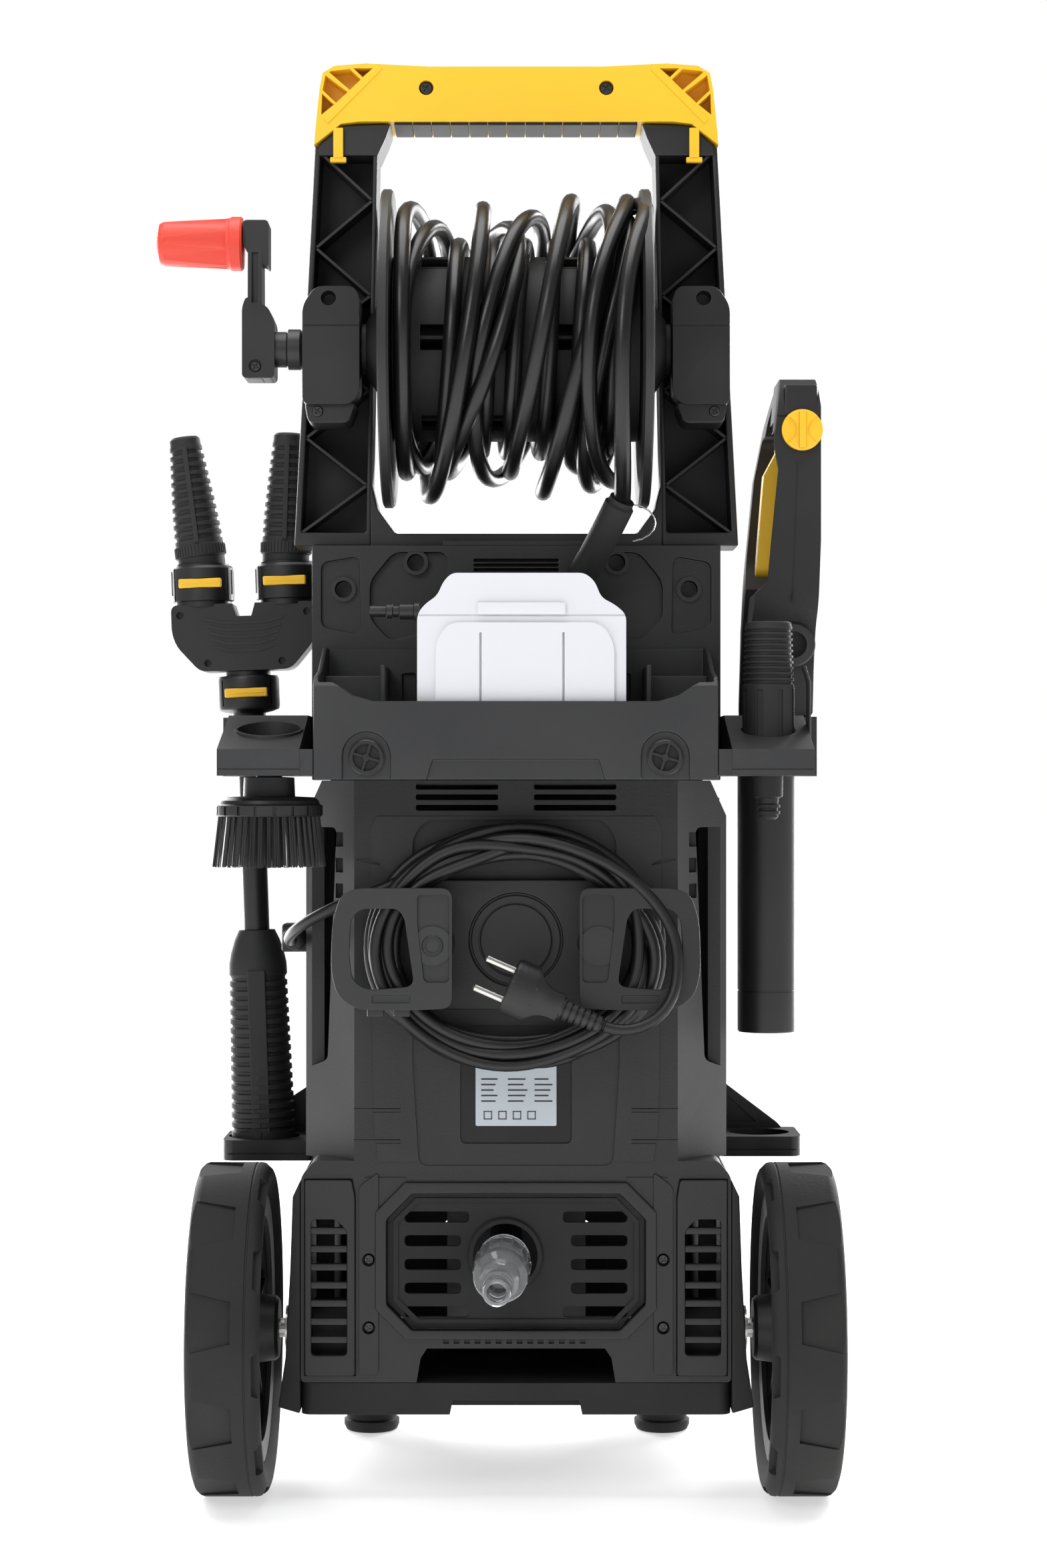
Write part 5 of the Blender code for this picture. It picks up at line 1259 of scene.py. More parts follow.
def build_tray(context):
    edge = context.scene.washer_sizes.edge
    low, high = span("tray")
    rear, end, half = low.y, high.y, high.x
    side = [(rear, low.z), (end, low.z), (end, high.z), (end - 0.02, high.z), (rear + 0.042, 0.515), (rear + 0.006,
        0.51), (rear, 0.504)]
    trough = prism("YZ", side, -half, half)
    inside = prism("YZ", [(rear + WALL, low.z + WALL), (end - WALL, low.z + WALL), (end - WALL, 0.6), (rear + WALL,
        0.6)], WALL - half, half - WALL)
    lip = prism("XZ", [(-0.086, 0.495), (0.086, 0.495), (0.098, 0.4985), (0.112, 0.508), (0.118, 0.56), (-0.118, 0.56),
        (-0.112, 0.508), (-0.098, 0.4985)], rear - 0.01, rear + 0.024)
    arch = prism("XZ", [(-0.056, 0.44), (0.056, 0.44), (0.05, 0.46), (-0.05, 0.46)], rear - 0.01, rear + 0.0022)
    hollows = []
    for s in (-1, 1):
        outline = [(s * 0.0755, 0.44), (s * 0.1045, 0.44)]
        outline += [(s * (0.09 + 0.0145 * math.cos(a)), 0.462 + 0.0145 * math.sin(a)) for a in [math.pi * number / 12
            for number in range(13)]]
        hollows.append(prism("XZ", outline, rear - 0.01, rear + 0.0024))
    windows = [block((s * 0.064, s * 0.072), (end - 0.01, end + 0.01), (0.49, 0.515)) for s in (-1, 1)]
    tray = carved(trough, cuts=[inside, lip, arch, *hollows, *windows], edge=edge * 1.5)
    settle("tray_trough", tray, "tray", "root", ["tray"])
    inner = [block((s * 0.08, s * 0.083), (rear + 0.032, end - 0.003), (low.z + 0.0028, 0.518), 0.0008) for s
        in (-1, 1)]
    inner += [block((s * 0.083, s * 0.1185), (rear + 0.058, rear + 0.061), (low.z + 0.0028, 0.512), 0.0008) for s
        in (-1, 1)]
    settle("tray_ribs", together(*inner), "tray", "root")

    for side, s in SIDES:
        centre = (s * 0.09, 0, 0.461)
        bowl = turned("Y", centre, [(0.0082, rear - 0.0008), (0.01, rear - 0.0008), (0.0108, rear), (0.0108, rear
            + 0.0024), (0.0082, rear + 0.0024)], 48)
        spokes = ring_of(block((centre[0] - 0.0007, centre[0] + 0.0007), (rear, rear + 0.0022), (centre[2] + 0.0012,
            centre[2] + 0.0088)), 4, "Y", centre, 0.3)
        hub = rod("Y", centre, 0.0022, rear - 0.0004, rear + 0.0022, 20, edge=0.0003)
        settle(f"storage_plug_{side}", together(bowl, spokes, hub), "smooth", "root", slot="black_plastic")
        # A thin dark disc at the back of the recess: painted shade.
        back = rod("Y", centre, 0.0085, rear + 0.0019, rear + 0.0023, 32)
        settle(f"plug_recess_{side}", back, "deep", "root")

    over = (0.44, 0.5)
    lance = (LANCE_FOOT[0] - math.sin(math.radians(2.0)) * (0.488 - LANCE_FOOT[2]), LANCE_FOOT[1])
    for side, s in SIDES:
        body = holder_shape(s, 0.18, (rear, 0.0))
        inner_x = half + 0.0003
        near = block((s * inner_x, s * 0.134), (rear + 0.0003, end - 0.0003), (0.4502, 0.466))
        if s < 0:
            far = holder_shape(s, 0.19, (-0.002, LANCE_FOOT[1] + 0.025))
            cup = turned("Z", (-0.152, -0.105, 0), [(0.0, 0.456), (0.018, 0.456), (0.02, 0.4575), (0.02, over[1]),
                (0.0, over[1])], 48)
            cuts = [cup, rod("Z", (-0.152, -0.105, 0), 0.0087, over[0], 0.458), rod("Z", (*lance, 0), 0.011, *over),
                block((lance[0] - 0.04, lance[0]), (lance[1] - 0.0095, lance[1] + 0.0095), over)]
        else:
            far = holder_shape(s, 0.192, (-0.032, 0.032))
            cuts = [rod("Z", (0.1554, -0.105, 0), 0.0168, 0.4675, over[1], 48), rod("Z", (0.1554, -0.105, 0), 0.0108,
                over[0], 0.47, 40), rod("Z", (0.1624, 0.0, 0), 0.0204, *over, 48)]
        hollow = block((s * 0.136, s * 0.176), (-0.072, -0.008), (0.44, 0.484))
        if s > 0:
            hollow = block((0.136, 0.176), (-0.072, -0.037), (0.44, 0.484))
        groove = block((s * 0.1303, s * 0.181), (rear - 0.001, rear + 0.0006), (0.4536, 0.4544))
        part = carved(body, adds=[near, far], cuts=[*cuts, hollow, groove], edge=edge * 1.2)
        settle(f"side_holder_{side}", part, "tray", "root", [f"holder_{side}"])
    clip = prism("XZ", [(0.18, 0.451), (0.1812, 0.451), (0.1812, 0.508), (0.178, 0.518), (0.1768, 0.5175),
        (0.18, 0.5075)], -0.11, -0.09, 0.0003)
    rim = turned("Z", (-0.152, -0.105, 0), [(0.0201, 0.456), (0.0201, 0.4785), (0.0214, 0.4785), (0.0214, 0.456)], 48)
    slope = prism("YZ", [(-0.16, 0.4655), (-0.07, 0.489), (-0.07, 0.52), (-0.16, 0.52)], -0.2, -0.1)
    settle("brush_cup_ring", carved(rim, cuts=[slope]), "tray", "root")
    settle("nozzle_clip", clip, "tray", "root")

    low, high = span("bottle")
    top = high.z
    outline = rounded_outline([(low.x, low.z), (high.x, low.z), (high.x, top - 0.025), (high.x - 0.007, top - 0.019),
        (high.x - 0.015, top - 0.015), (high.x - 0.019, top - 0.005), (high.x - 0.025, top), (low.x + 0.021, top),
        (low.x + 0.016, top - 0.005), (low.x + 0.012, top - 0.014), (low.x + 0.005, top - 0.0185), (low.x, top
        - 0.025)], 0.004)
    jug = prism("XZ", outline, low.y + 0.003, high.y)
    grooves = [block((x - 0.0006, x + 0.0006), (low.y - 0.01, low.y + 0.0036), (low.z - 0.001, top - 0.036)) for x
        in (-0.0213, 0.0288)]
    waist = prism("YZ", [(low.y - 0.01, top - 0.0262), (low.y + 0.004, top - 0.0262), (low.y + 0.004, top - 0.025),
        (low.y - 0.01, top - 0.025)], -0.1, 0.1)
    jug = carved(jug, cuts=[waist], edge=0.0042)
    panel = soft_plate([(low.x + 0.011, low.z), (high.x - 0.007, low.z), (high.x - 0.007, top - 0.042), (high.x
        - 0.015, top - 0.03), (low.x + 0.019, top - 0.03), (low.x + 0.011, top - 0.042)], 0.01, low.y, low.y + 0.006)
    bar = block((-0.0233, 0.0303), (low.y - 0.0001, low.y + 0.003), (top - 0.025, top - 0.018), 0.0012)
    panel = carved(panel, cuts=grooves, edge=0.0018)
    settle("detergent_jug", together(jug, panel, bar), "bottle", "detergent_bottle", ["bottle"], smooth=50)
    y = (low.y + high.y) / 2
    stub = turned("X", (0, y, 0.551), [(0.0, low.x - 0.03), (0.003, low.x - 0.03), (0.0036, low.x - 0.029),
        (0.0036, low.x - 0.02), (0.0046, low.x - 0.0195), (0.0046, low.x - 0.016), (0.0038, low.x - 0.0155),
        (0.0038, low.x - 0.012), (0.0052, low.x - 0.0115), (0.0052, low.x - 0.003), (0.0062, low.x - 0.0025),
        (0.0062, low.x + 0.0004), (0.0, low.x + 0.0004)], 32)
    settle("spray_stub", stub, "smooth", "detergent_bottle", slot="black_plastic")

    for side, s, reach, cup_x, cup_r, floor, rim in (("left", -1, 0.193, LANCE_FOOT[0], 0.0235, LANCE_FOOT[2] - 0.0011,
        0.2115), ("right", 1, 0.187, 0.161, 0.02, 0.206, 0.214),):
        y0, y1 = 0.02, 0.08
        plan = rounded_outline([(s * 0.1333, y0), (s * (reach - 0.004), y0), (s * reach, y0 + 0.006), (s * reach, y1),
            (s * 0.1333, y1)], 0.004)
        plate = prism("XY", plan, floor - 0.005, rim)
        cup = rod("Z", (cup_x, LANCE_FOOT[1], 0), cup_r, floor, rim + 0.01, 48)
        web = prism("XZ", [(s * 0.1333, rim - 0.001), (s * (reach - 0.008), rim - 0.001), (s * (reach - 0.012), rim
            + 0.0035), (s * 0.1333, rim + 0.035)], y1 - 0.0045, y1)
        window = prism("XZ", [(s * 0.138, rim + 0.004), (s * (reach - 0.026), rim + 0.004), (s * 0.138, rim + 0.0255)],
            y1 - 0.0055, y1 - 0.0025)
        step = block((s * 0.134, s * (reach + 0.01)), (y0 - 0.01, y0 + 0.0012), (floor - 0.001, floor))
        part = carved(plate, adds=[web], cuts=[cup, window, step], edge=edge)
        settle(f"cradle_shelf_{side}", part, "casing", "root", [f"cradle_{side}"])


class WASHER_OT_tray(bpy.types.Operator):
    """Tray, the two side holders, storage plugs and detergent bottle"""

    bl_idname = "washer.tray"
    bl_label = "Tray and bottle"

    def execute(self, context):
        build_tray(context)
        return {"FINISHED"}


# Cord hooks and connections


def build_hooks(context):
    edge = context.scene.washer_sizes.edge
    for side, s in SIDES:
        low, high = span(f"hook_{side}")
        near, far = sorted((abs(low.x), abs(high.x)))
        rear = low.y
        z0, z1 = 0.308, 0.382
        plan = rounded_outline([(s * near, z0 + 0.001), (s * (near + 0.025), z0), (s * (far - 0.017), z0),
            (s * (far - 0.004), z0 + 0.008), (s * far, z0 + 0.024), (s * (far - 0.001), z1 - 0.02), (s * (far - 0.006),
            z1 - 0.004), (s * (far - 0.016), z1), (s * (near + 0.025), z1), (s * near, z1 + 0.0)], 0.007)
        plate = prism("XZ", plan, rear, rear + 0.005)
        window = soft_plate([(s * (near + 0.023), z0 + 0.0145), (s * (far - 0.022), z0 + 0.012), (s * (far - 0.013), z0
            + 0.018), (s * (far - 0.011), z0 + 0.032), (s * (far - 0.012), z1 - 0.019), (s * (far - 0.018), z1
            - 0.0125), (s * (near + 0.033), z1 - 0.0125), (s * (near + 0.029), z1 - 0.018)], 0.006, rear - 0.01, rear
            + 0.02)
        pocket = soft_plate([(s * (near + 0.002), z0 + 0.017), (s * (near + 0.017), z0 + 0.017), (s * (near + 0.021),
            z1 - 0.022), (s * (near + 0.021), z1 - 0.004), (s * (near + 0.002), z1 - 0.004)], 0.003, rear - 0.01, rear
            + 0.002)
        slot_low = block((s * (near + 0.0255), s * (far - 0.025)), (rear - 0.01, rear + 0.001), (z0 + 0.0045, z0
            + 0.009))
        shape = carved(plate, cuts=[window, pocket, slot_low], edge=edge * 0.9)
        arm = turned("Y", (s * 0.0505, 0, 0.347), [(0.0, rear + 0.001), (0.012, rear + 0.001), (0.012, -0.11),
            (0.0135, -0.102), (0.0135, -0.0984), (0.0, -0.0984)], 40)
        shelf = block((s * (near + 0.002), s * (near + 0.021)), (rear + 0.004, -0.11), (z1 - 0.006, z1 - 0.0035),
            0.0006)
        shelf_low = block((s * (near + 0.002), s * (near + 0.021)), (rear + 0.004, -0.11), (z0 + 0.006, z0 + 0.0085),
            0.0006)
        rides = "cord_hook" if s < 0 else "root"
        settle(f"hook_plate_{side}", together(shape, arm, shelf, shelf_low), "tray" if s < 0 else "casing", rides,
            [f"hook_{side}"], "black_plastic")
        if s < 0:
            boss = turned("Y", (-0.0505, 0, 0.347), [(0.0042, rear + 0.0004), (0.006, rear + 0.0004), (0.0066, rear
                + 0.001), (0.0066, rear + 0.0024), (0.0042, rear + 0.0024)], 36)
            arcs = []
            for lift in (1, -1):
                for number in range(9):
                    angle = math.radians(50 + 10 * number) * lift
                    place = Vector((-0.0505 + 0.0092 * math.cos(angle), 0, 0.347 + 0.0092 * math.sin(angle)))
                    arcs.append(block((place.x - 0.0009, place.x + 0.0009), (rear + 0.0014, rear + 0.0022),
                        (place.z - 0.0006, place.z + 0.0006)))
            tabs = [block((x, x + 0.01), (rear + 0.0006, rear + 0.004), (z0 - 0.004, z0 + 0.001), 0.0008) for x
                in (-0.09, -0.074)]
            settle("hook_boss", together(boss, *arcs, *tabs), "casing", "cord_hook")
            settle("hook_screw", cross_screw((-0.0505, rear + 0.0012, 0.347), 0.0038), "dark steel", "cord_hook")

    drop = Matrix.Translation(PLUG_TIP) @ Matrix.Rotation(PLUG_DROP, 4, "Y")
    flat = Matrix.Diagonal((1.0, 0.72, 1.0, 1.0))
    body = turned("X", (0, 0, 0), [(0.0, 0.019), (0.016, 0.019), (0.0172, 0.02), (0.0175, 0.022), (0.0175, 0.033),
        (0.0165, 0.037), (0.014, 0.0415), (0.013, 0.045), (0.0124, 0.05), (0.01, 0.053), (0.0, 0.053)], 48)
    body = moved(body, flat)
    cheeks = [shifted(rod("Y", (0, 0, 0), 0.016, -0.02, 0.02, 40), (0.048, 0, k * 0.024)) for k in (-1, 1)]
    body = carved(body, cuts=cheeks, edge=0.0008)
    ribs = [shifted(block((x, x + 0.0018), (-0.0118, -0.0095), (-0.006, 0.006), 0.0004), (0, 0, 0)) for x in (0.026,
        0.03, 0.034)]
    relief = [(0.0, 0.05)]
    for number in range(7):
        r, x = 0.007 - 0.0003 * number, 0.052 + 0.004 * number
        relief += [(r, x), (r, x + 0.0026), (r - 0.0016, x + 0.0029), (r - 0.0016, x + 0.0039)]
    relief += [(0.0045, 0.0805), (0.0, 0.0811)]
    tail = turned("X", (0, 0, 0), relief, 32)
    settle("plug_body", moved(together(body, tail, *ribs), drop), "casing", "root", ["plug"], "cord_rubber")
    pins = [rod("X", (0, 0, z), 0.0024, 0.0008, 0.02, 28) for z in (-0.0095, 0.0095)]
    pins += [rod("X", (0, 0, z), 0.0012, 0.0, 0.001, 28, 0.0024) for z in (-0.0095, 0.0095)]
    settle("plug_pins", moved(together(*pins), drop), "steel", "root")

    x, y, z = LEAD_ROUTE[0]
    low, high = span("cord_gland")
    base = block((low.x, high.x), (y + 0.026, high.y), (low.z, high.z), 0.002)
    profile = [(0.0, y + 0.027), (0.0078, y + 0.027), (0.0078, y + 0.024)]
    for number in range(6):
        r, at = 0.0074 - 0.0004 * number, y + 0.023 - 0.0038 * number
        profile += [(r, at), (r, at - 0.0022), (r - 0.0014, at - 0.0026), (r - 0.0014, at - 0.0036)]
    profile += [(0.0046, y + 0.0003), (0.0, y + 0.0003)]
    settle("mains_gland", together(base, turned("Y", (x, 0, z), profile, 32)), "cord", "root", ["cord_gland"],
        "cord_rubber")

    route = smooth_route(SLEEVE_ROUTE, 0.0015)
    core = bmesh.new()
    rings = []
    for number, point in enumerate(route):
        t = number / (len(route) - 1)
        after = route[min(number + 1, len(route) - 1)] - route[max(number - 1, 0)]
        r = 0.0095 if 0.05 < t < 0.8 else 0.0088 if t >= 0.8 else 0.008
        if 0.84 < t < 0.98 and int(t * 60) % 2:
            r = 0.0095
        made = bmesh.ops.create_circle(core, segments=36, radius=r, matrix=Matrix.Translation(point)
            @ after.to_track_quat("Z", "Y").to_matrix().to_4x4())["verts"]
        rings.append(made)
    for first, second in zip(rings, rings[1:]):
        loops = [e for v in first + second for e in v.link_edges if all(w in first for w in e.verts) or all(w in second
            for w in e.verts)]
        bmesh.ops.bridge_loops(core, edges=list(dict.fromkeys(loops)))
    open_rims = [e for e in core.edges if e.is_boundary]
    bmesh.ops.holes_fill(core, edges=open_rims)
    bmesh.ops.recalc_face_normals(core, faces=core.faces)
    settle("hose_sleeve", core, "grip", "root", slot="hose_rubber", smooth=40)

    tag = []
    for number in range(13):
        angle = math.pi * (0.05 + 1.35 * number / 12)
        tag.append(Vector((0.07 + 0.017 * math.sin(angle), -0.08 - 0.004 * math.cos(angle), 0.608 - 0.012 * math.cos(
            angle))))
    loop = bpy.data.curves.new("tag_loop", "CURVE")
    loop.dimensions = "3D"
    loop.bevel_depth = 0.0005
    loop.bevel_resolution = 2
    loop.use_fill_caps = True
    line = loop.splines.new("POLY")
    line.points.add(len(tag) - 1)
    for point, place in zip(line.points, tag):
        point.co = (place.x + MID_X, place.y, place.z, 1.0)
    loop.materials.append(look("clear"))
    ring = bpy.data.objects.new("tag_loop", loop)
    bpy.context.collection.objects.link(ring)
    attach(ring, "root")

    place = Matrix.Translation((-0.0066, -0.088, 0.153))
    droop = (Matrix.Rotation(math.radians(-8.5), 4, "X") @ Matrix.Rotation(math.radians(3.5), 4, "Z")).inverted()
    outer = [(0.0125, 0.0), (0.0125, 0.011), (0.0162, 0.0118), (0.0162, 0.015), (0.015, 0.0154), (0.015, 0.018),
        (0.0165, 0.0184), (0.0165, 0.04), (0.0158, 0.0412), (0.0158, 0.0455), (0.0165, 0.0462), (0.0165, 0.048),
        (0.0125, 0.05), (0.012, 0.058), (0.0092, 0.0605), (0.0092, 0.064), (0.0082, 0.0644), (0.0082, 0.067),
        (0.0092, 0.0674), (0.0092, 0.072), (0.008, 0.0724), (0.008, 0.0745), (0.0088, 0.0752), (0.0085, 0.08),
        (0.006, 0.08), (0.006, 0.062), (0.01, 0.052), (0.0138, 0.044), (0.0138, 0.016), (0.01, 0.01), (0.01, 0.0)]
    shape = turned("Y", (0, 0, 0), [(r, -along) for r, along in outer], 64)
    fins = ring_of(block((-0.0008, 0.0008), (-0.0395, -0.019), (0.016, 0.0176), 0.0003, 1), 16, "Y", (0, 0, 0))
    settle("clear_connector", moved(together(shape, fins), place @ droop), "clear", "root", ["inlet_connector"])
    inner = turned("Y", (0, 0, 0), [(r, -along) for r, along in ((0.0, 0.002), (0.009, 0.002), (0.009, 0.012),
        (0.0105, 0.013), (0.0105, 0.029), (0.008, 0.031), (0.006, 0.04), (0.006, 0.052), (0.0035, 0.053), (0.0035,
        0.03), (0.0, 0.03))], 40)
    settle("connector_core", moved(inner, place @ droop), "clear", "root")
    seal = turned("Y", (0, 0, 0), [(r, -along) for r, along in ((0.0095, 0.014), (0.0128, 0.014), (0.0128, 0.017),
        (0.0095, 0.017))], 40)
    settle("connector_seal", moved(seal, place @ droop), "deep", "root")


class WASHER_OT_hooks(bpy.types.Operator):
    """Cord hooks, plug, strain reliefs and the clear inlet connector"""

    bl_idname = "washer.hooks"
    bl_label = "Hooks and plugs"

    def execute(self, context):
        build_hooks(context)
        return {"FINISHED"}


# Casing

REAR = span("rear_shell")[0].y
BODY_HALF = span("rear_shell")[1].x
SKIRT_TOP = 0.212
SHOULDER = 0.425


def rear_plan(inset, front):
    """The rear casing from above, with its chamfered rear corners, drawn in by inset."""
    slant = inset * math.hypot(0.033, 0.048) / 0.048
    near, side = REAR + inset, BODY_HALF - inset
    near_x = BODY_HALF - 0.033 + inset * 0.6875 - slant
    side_y = REAR + (side - (BODY_HALF - 0.033) + slant) * 0.048 / 0.033
    half = [(side, front), (side, side_y), (near_x, near)]
    return half + [(-x, y) for x, y in reversed(half)]


def octagon(half, low, high, corner):
    return [(-half, low + corner), (-half + corner, low), (half - corner, low), (half, low + corner), (half, high
        - corner), (half - corner, high), (-half + corner, high), (-half, high - corner)]


def build_casing(context):
    edge = context.scene.washer_sizes.edge
    low, high = span("rear_shell")
    front = high.y
    through = (REAR - 0.02, REAR + 0.012)
    upper = prism("XY", rear_plan(0.0, front), SKIRT_TOP - 0.002, high.z)
    skirt = soft_plate([(-BODY_HALF, low.z), (BODY_HALF, low.z), (BODY_HALF, SKIRT_TOP - 0.01), (BODY_HALF - 0.008,
        SKIRT_TOP), (-BODY_HALF + 0.008, SKIRT_TOP), (-BODY_HALF, SKIRT_TOP - 0.01)], 0.003, REAR, front)
    panel = prism("XZ", [(-0.085, SKIRT_TOP), (0.085, SKIRT_TOP), (0.088, 0.235), (0.09, 0.418), (0.086, SHOULDER),
        (-0.086, SHOULDER), (-0.09, 0.418), (-0.088, 0.235)], REAR - 0.0012, REAR + 0.004)
    cuts = [block((-BODY_HALF + WALL, BODY_HALF - WALL), (REAR + WALL + 0.004, front + 0.01), (low.z - 0.01, SKIRT_TOP
        - WALL)), prism("XY", rear_plan(WALL + 0.0035, front + 0.01), SKIRT_TOP - WALL - 0.002, SHOULDER - WALL),
        block((-0.092, 0.092), (REAR + WALL + 0.004, front + 0.01), (SHOULDER - 0.01, high.z - WALL))]
    for s in (-1, 1):
        cuts.append(prism("XZ", [(s * BODY_HALF, SHOULDER), (s * 0.122, high.z), (s * 0.122, 0.5), (s * 0.2, 0.5),
            (s * 0.2, SHOULDER)], REAR - 0.01, front + 0.01))
        cuts.append(soft_plate([(s * 0.118, 0.272), (s * 0.145, 0.26), (s * 0.145, 0.418), (s * 0.112, 0.418)], 0.004,
            REAR - 0.02, -0.056))
        for number in range(3):
            z = 0.374 + 0.016 * number
            cuts.append(block((s * 0.1075, s * 0.1125), (REAR - 0.02, -0.076), (z, z + 0.009)))
        for z in (0.4285, 0.435, 0.4415):
            cuts.append(soft_plate([(s * 0.011, z), (s * 0.062, z), (s * 0.062, z + 0.0036), (s * 0.011, z + 0.0036)],
                0.0016, *through))
        for z, x0, x1 in ((0.242, 0.0714, 0.108), (0.2227, 0.0714, 0.108)):
            cuts.append(block((s * x0, s * x1), (REAR - 0.01, REAR - 0.0004), (z, z + 0.0007)))
            cuts.append(block((s * x0, s * x1), (REAR - 0.01, REAR + 0.0008), (z + 0.0022, z + 0.0027)))
        cuts.append(block((s * 0.068, s * 0.0936), (REAR - 0.01, REAR + 0.0008), (0.2016, 0.2024)))
        cuts.append(prism("XZ", [(s * 0.099, 0.079), (s * 0.131, 0.079), (s * 0.131, 0.201), (s * 0.101, 0.201),
            (s * 0.099, 0.19)], REAR - 0.02, REAR + 0.003))
        cuts.append(prism("XZ", [(s * 0.104, 0.09), (s * 0.127, 0.09), (s * 0.127, 0.178), (s * 0.11, 0.178),
            (s * 0.104, 0.17)], *through))
        for z in (0.151, 0.109):
            cuts.append(rod("Y", (s * 0.091, 0, z), 0.0042, REAR - 0.02, REAR + 0.003, 24))
        cuts.append(prism("XZ", [(s * 0.0985, 0.399), (s * 0.09, 0.399), (s * 0.084, 0.396), (s * 0.084, 0.3948),
            (s * 0.0985, 0.3978)], REAR - 0.01, REAR + 0.001))
    cuts.append(prism("XZ", octagon(0.08, 0.107, 0.192, 0.016), REAR - 0.02, REAR + 0.012))
    cuts.append(soft_plate([(-0.064, 0.381), (0.062, 0.381), (0.062, 0.412), (0.054, 0.423), (-0.056, 0.423),
        (-0.064, 0.412)], 0.007, REAR - 0.02, REAR + 0.0022))
    cuts.append(soft_plate([(-0.064, 0.296), (-0.064, 0.271), (-0.06, 0.209), (0.06, 0.209), (0.064, 0.271),
        (0.064, 0.296)], 0.006, REAR - 0.02, REAR + 0.001))
    cuts.append(soft_plate([(-0.0345, 0.2225), (0.0345, 0.2225), (0.0345, 0.285), (-0.0345, 0.285)], 0.004, REAR
        - 0.02, REAR + 0.0026))
    cuts.append(prism("XZ", [(-0.064, 0.06), (0.064, 0.06), (0.059, 0.09), (0.055, 0.096), (-0.055, 0.096),
        (-0.059, 0.09)], REAR - 0.02, REAR + 0.025))
    cuts += [block((x, x + 0.0035), (REAR - 0.02, REAR + 0.002), (0.099, 0.104)) for x in [-0.045 + 0.0065 * number
        for number in range(14)]]
    cuts.append(rod("X", (0, span("axle")[0].y + 0.006, 0.1035), 0.0085, -0.14, 0.14))
    shell = carved(upper, adds=[skirt, panel], cuts=cuts, edge=edge * 0.8, angle=28)
    settle("rear_casing", shell, "casing", "root", ["rear_shell"])

    rim = prism("XZ", octagon(0.087, 0.102, 0.199, 0.0185), REAR - 0.003, REAR + 0.0002)
    rim = carved(rim, cuts=[prism("XZ", octagon(0.08, 0.1075, 0.192, 0.016), REAR - 0.01, REAR + 0.01)], edge=edge)
    columns = [soft_plate([(s * 0.085, 0.08), (s * 0.097, 0.08), (s * 0.097, 0.196), (s * 0.085, 0.205)], 0.003, REAR
        - 0.0016, REAR + 0.0002) for s in (-1, 1)]
    holes = [rod("Y", (s * 0.091, 0, z), 0.004, REAR - 0.02, REAR + 0.01, 24) for s in (-1, 1) for z in (0.151, 0.109)]
    columns = carved(together(*columns), cuts=[together(*holes)], edge=edge * 0.8)
    settle("rear_frame", together(rim, columns), "casing", "root")
    settle("rear_screws", together(*[cross_screw((s * 0.091, REAR + 0.0002, z), 0.0034) for s in (-1, 1) for z
        in (0.151, 0.109)]), "dark steel", "root")
    low, high = span("inlet_cover")
    plate = prism("XZ", octagon(0.0797, 0.1077, 0.1917, 0.016), low.y, high.y)
    slots = [soft_plate([(s * (0.029 if row in (0, 4) else 0.034), z), (s * 0.069, z), (s * 0.069, z + 0.0068),
        (s * (0.029 if row in (0, 4) else 0.034), z + 0.0068)], 0.003, REAR - 0.02, REAR + 0.02) for s in (-1, 1)
        for row in range(5) for z in [0.1145 + 0.0147 * row]]
    hole = rod("Y", (-0.0066, 0, 0.153), 0.02, REAR - 0.02, REAR + 0.02, 48)
    ring = turned("Y", (-0.0066, 0, 0.153), [(0.02, low.y - 0.003), (0.0225, low.y - 0.003), (0.0235, low.y - 0.002),
        (0.0235, low.y + 0.001), (0.02, low.y + 0.001)], 56)
    step = prism("XZ", octagon(0.076, 0.111, 0.1885, 0.014), low.y - 0.0012, low.y + 0.0005)
    step = carved(step, cuts=[prism("XZ", octagon(0.073, 0.1135, 0.186, 0.013), REAR - 0.02, REAR + 0.02)])
    plate = carved(plate, cuts=[*slots, hole], edge=edge * 0.7)
    settle("inlet_grille", together(plate, ring, step), "deep", "root", ["inlet_cover"], "black_plastic")
    for side, s in SIDES:
        frame_shape = soft_plate([(s * 0.0995, 0.0795), (s * 0.1305, 0.0795), (s * 0.1305, 0.2005), (s * 0.1015,
            0.2005), (s * 0.0995, 0.19)], 0.002, REAR - 0.003, REAR + 0.0028)
        window = soft_plate([(s * 0.1045, 0.092), (s * 0.1265, 0.092), (s * 0.1265, 0.176), (s * 0.111, 0.176),
            (s * 0.1045, 0.169)], 0.003, REAR - 0.02, REAR + 0.02)
        bars = [block((s * 0.104, s * 0.127), (REAR - 0.002, REAR + 0.003), (z, z + 0.0042), 0.001) for z in [0.0995
            + 0.0112 * number for number in range(7)]]
        settle(f"side_grille_{side}", together(carved(frame_shape, cuts=[window], edge=edge), *bars), "casing", "root",
            [f"side_vent_{side}"])

    mount = soft_plate([(-0.06, 0.306), (0.06, 0.306), (0.06, 0.386), (-0.06, 0.386)], 0.006, REAR - 0.0075, REAR
        + 0.0005)
    dish = rod("Y", (0, 0, 0.349), 0.029, REAR - 0.02, REAR - 0.0055, 64)
    disc = turned("Y", (0, 0, 0.349), [(0.0, REAR - 0.0072), (0.0215, REAR - 0.0072), (0.0222, REAR - 0.0066),
        (0.0222, REAR - 0.006), (0.0232, REAR - 0.006), (0.0232, REAR - 0.0076), (0.027, REAR - 0.0076), (0.0275, REAR
        - 0.007), (0.0275, REAR - 0.005), (0.0, REAR - 0.005)], 64)
    settle("hook_mount", together(carved(mount, cuts=[dish], edge=edge), disc), "casing", "root")

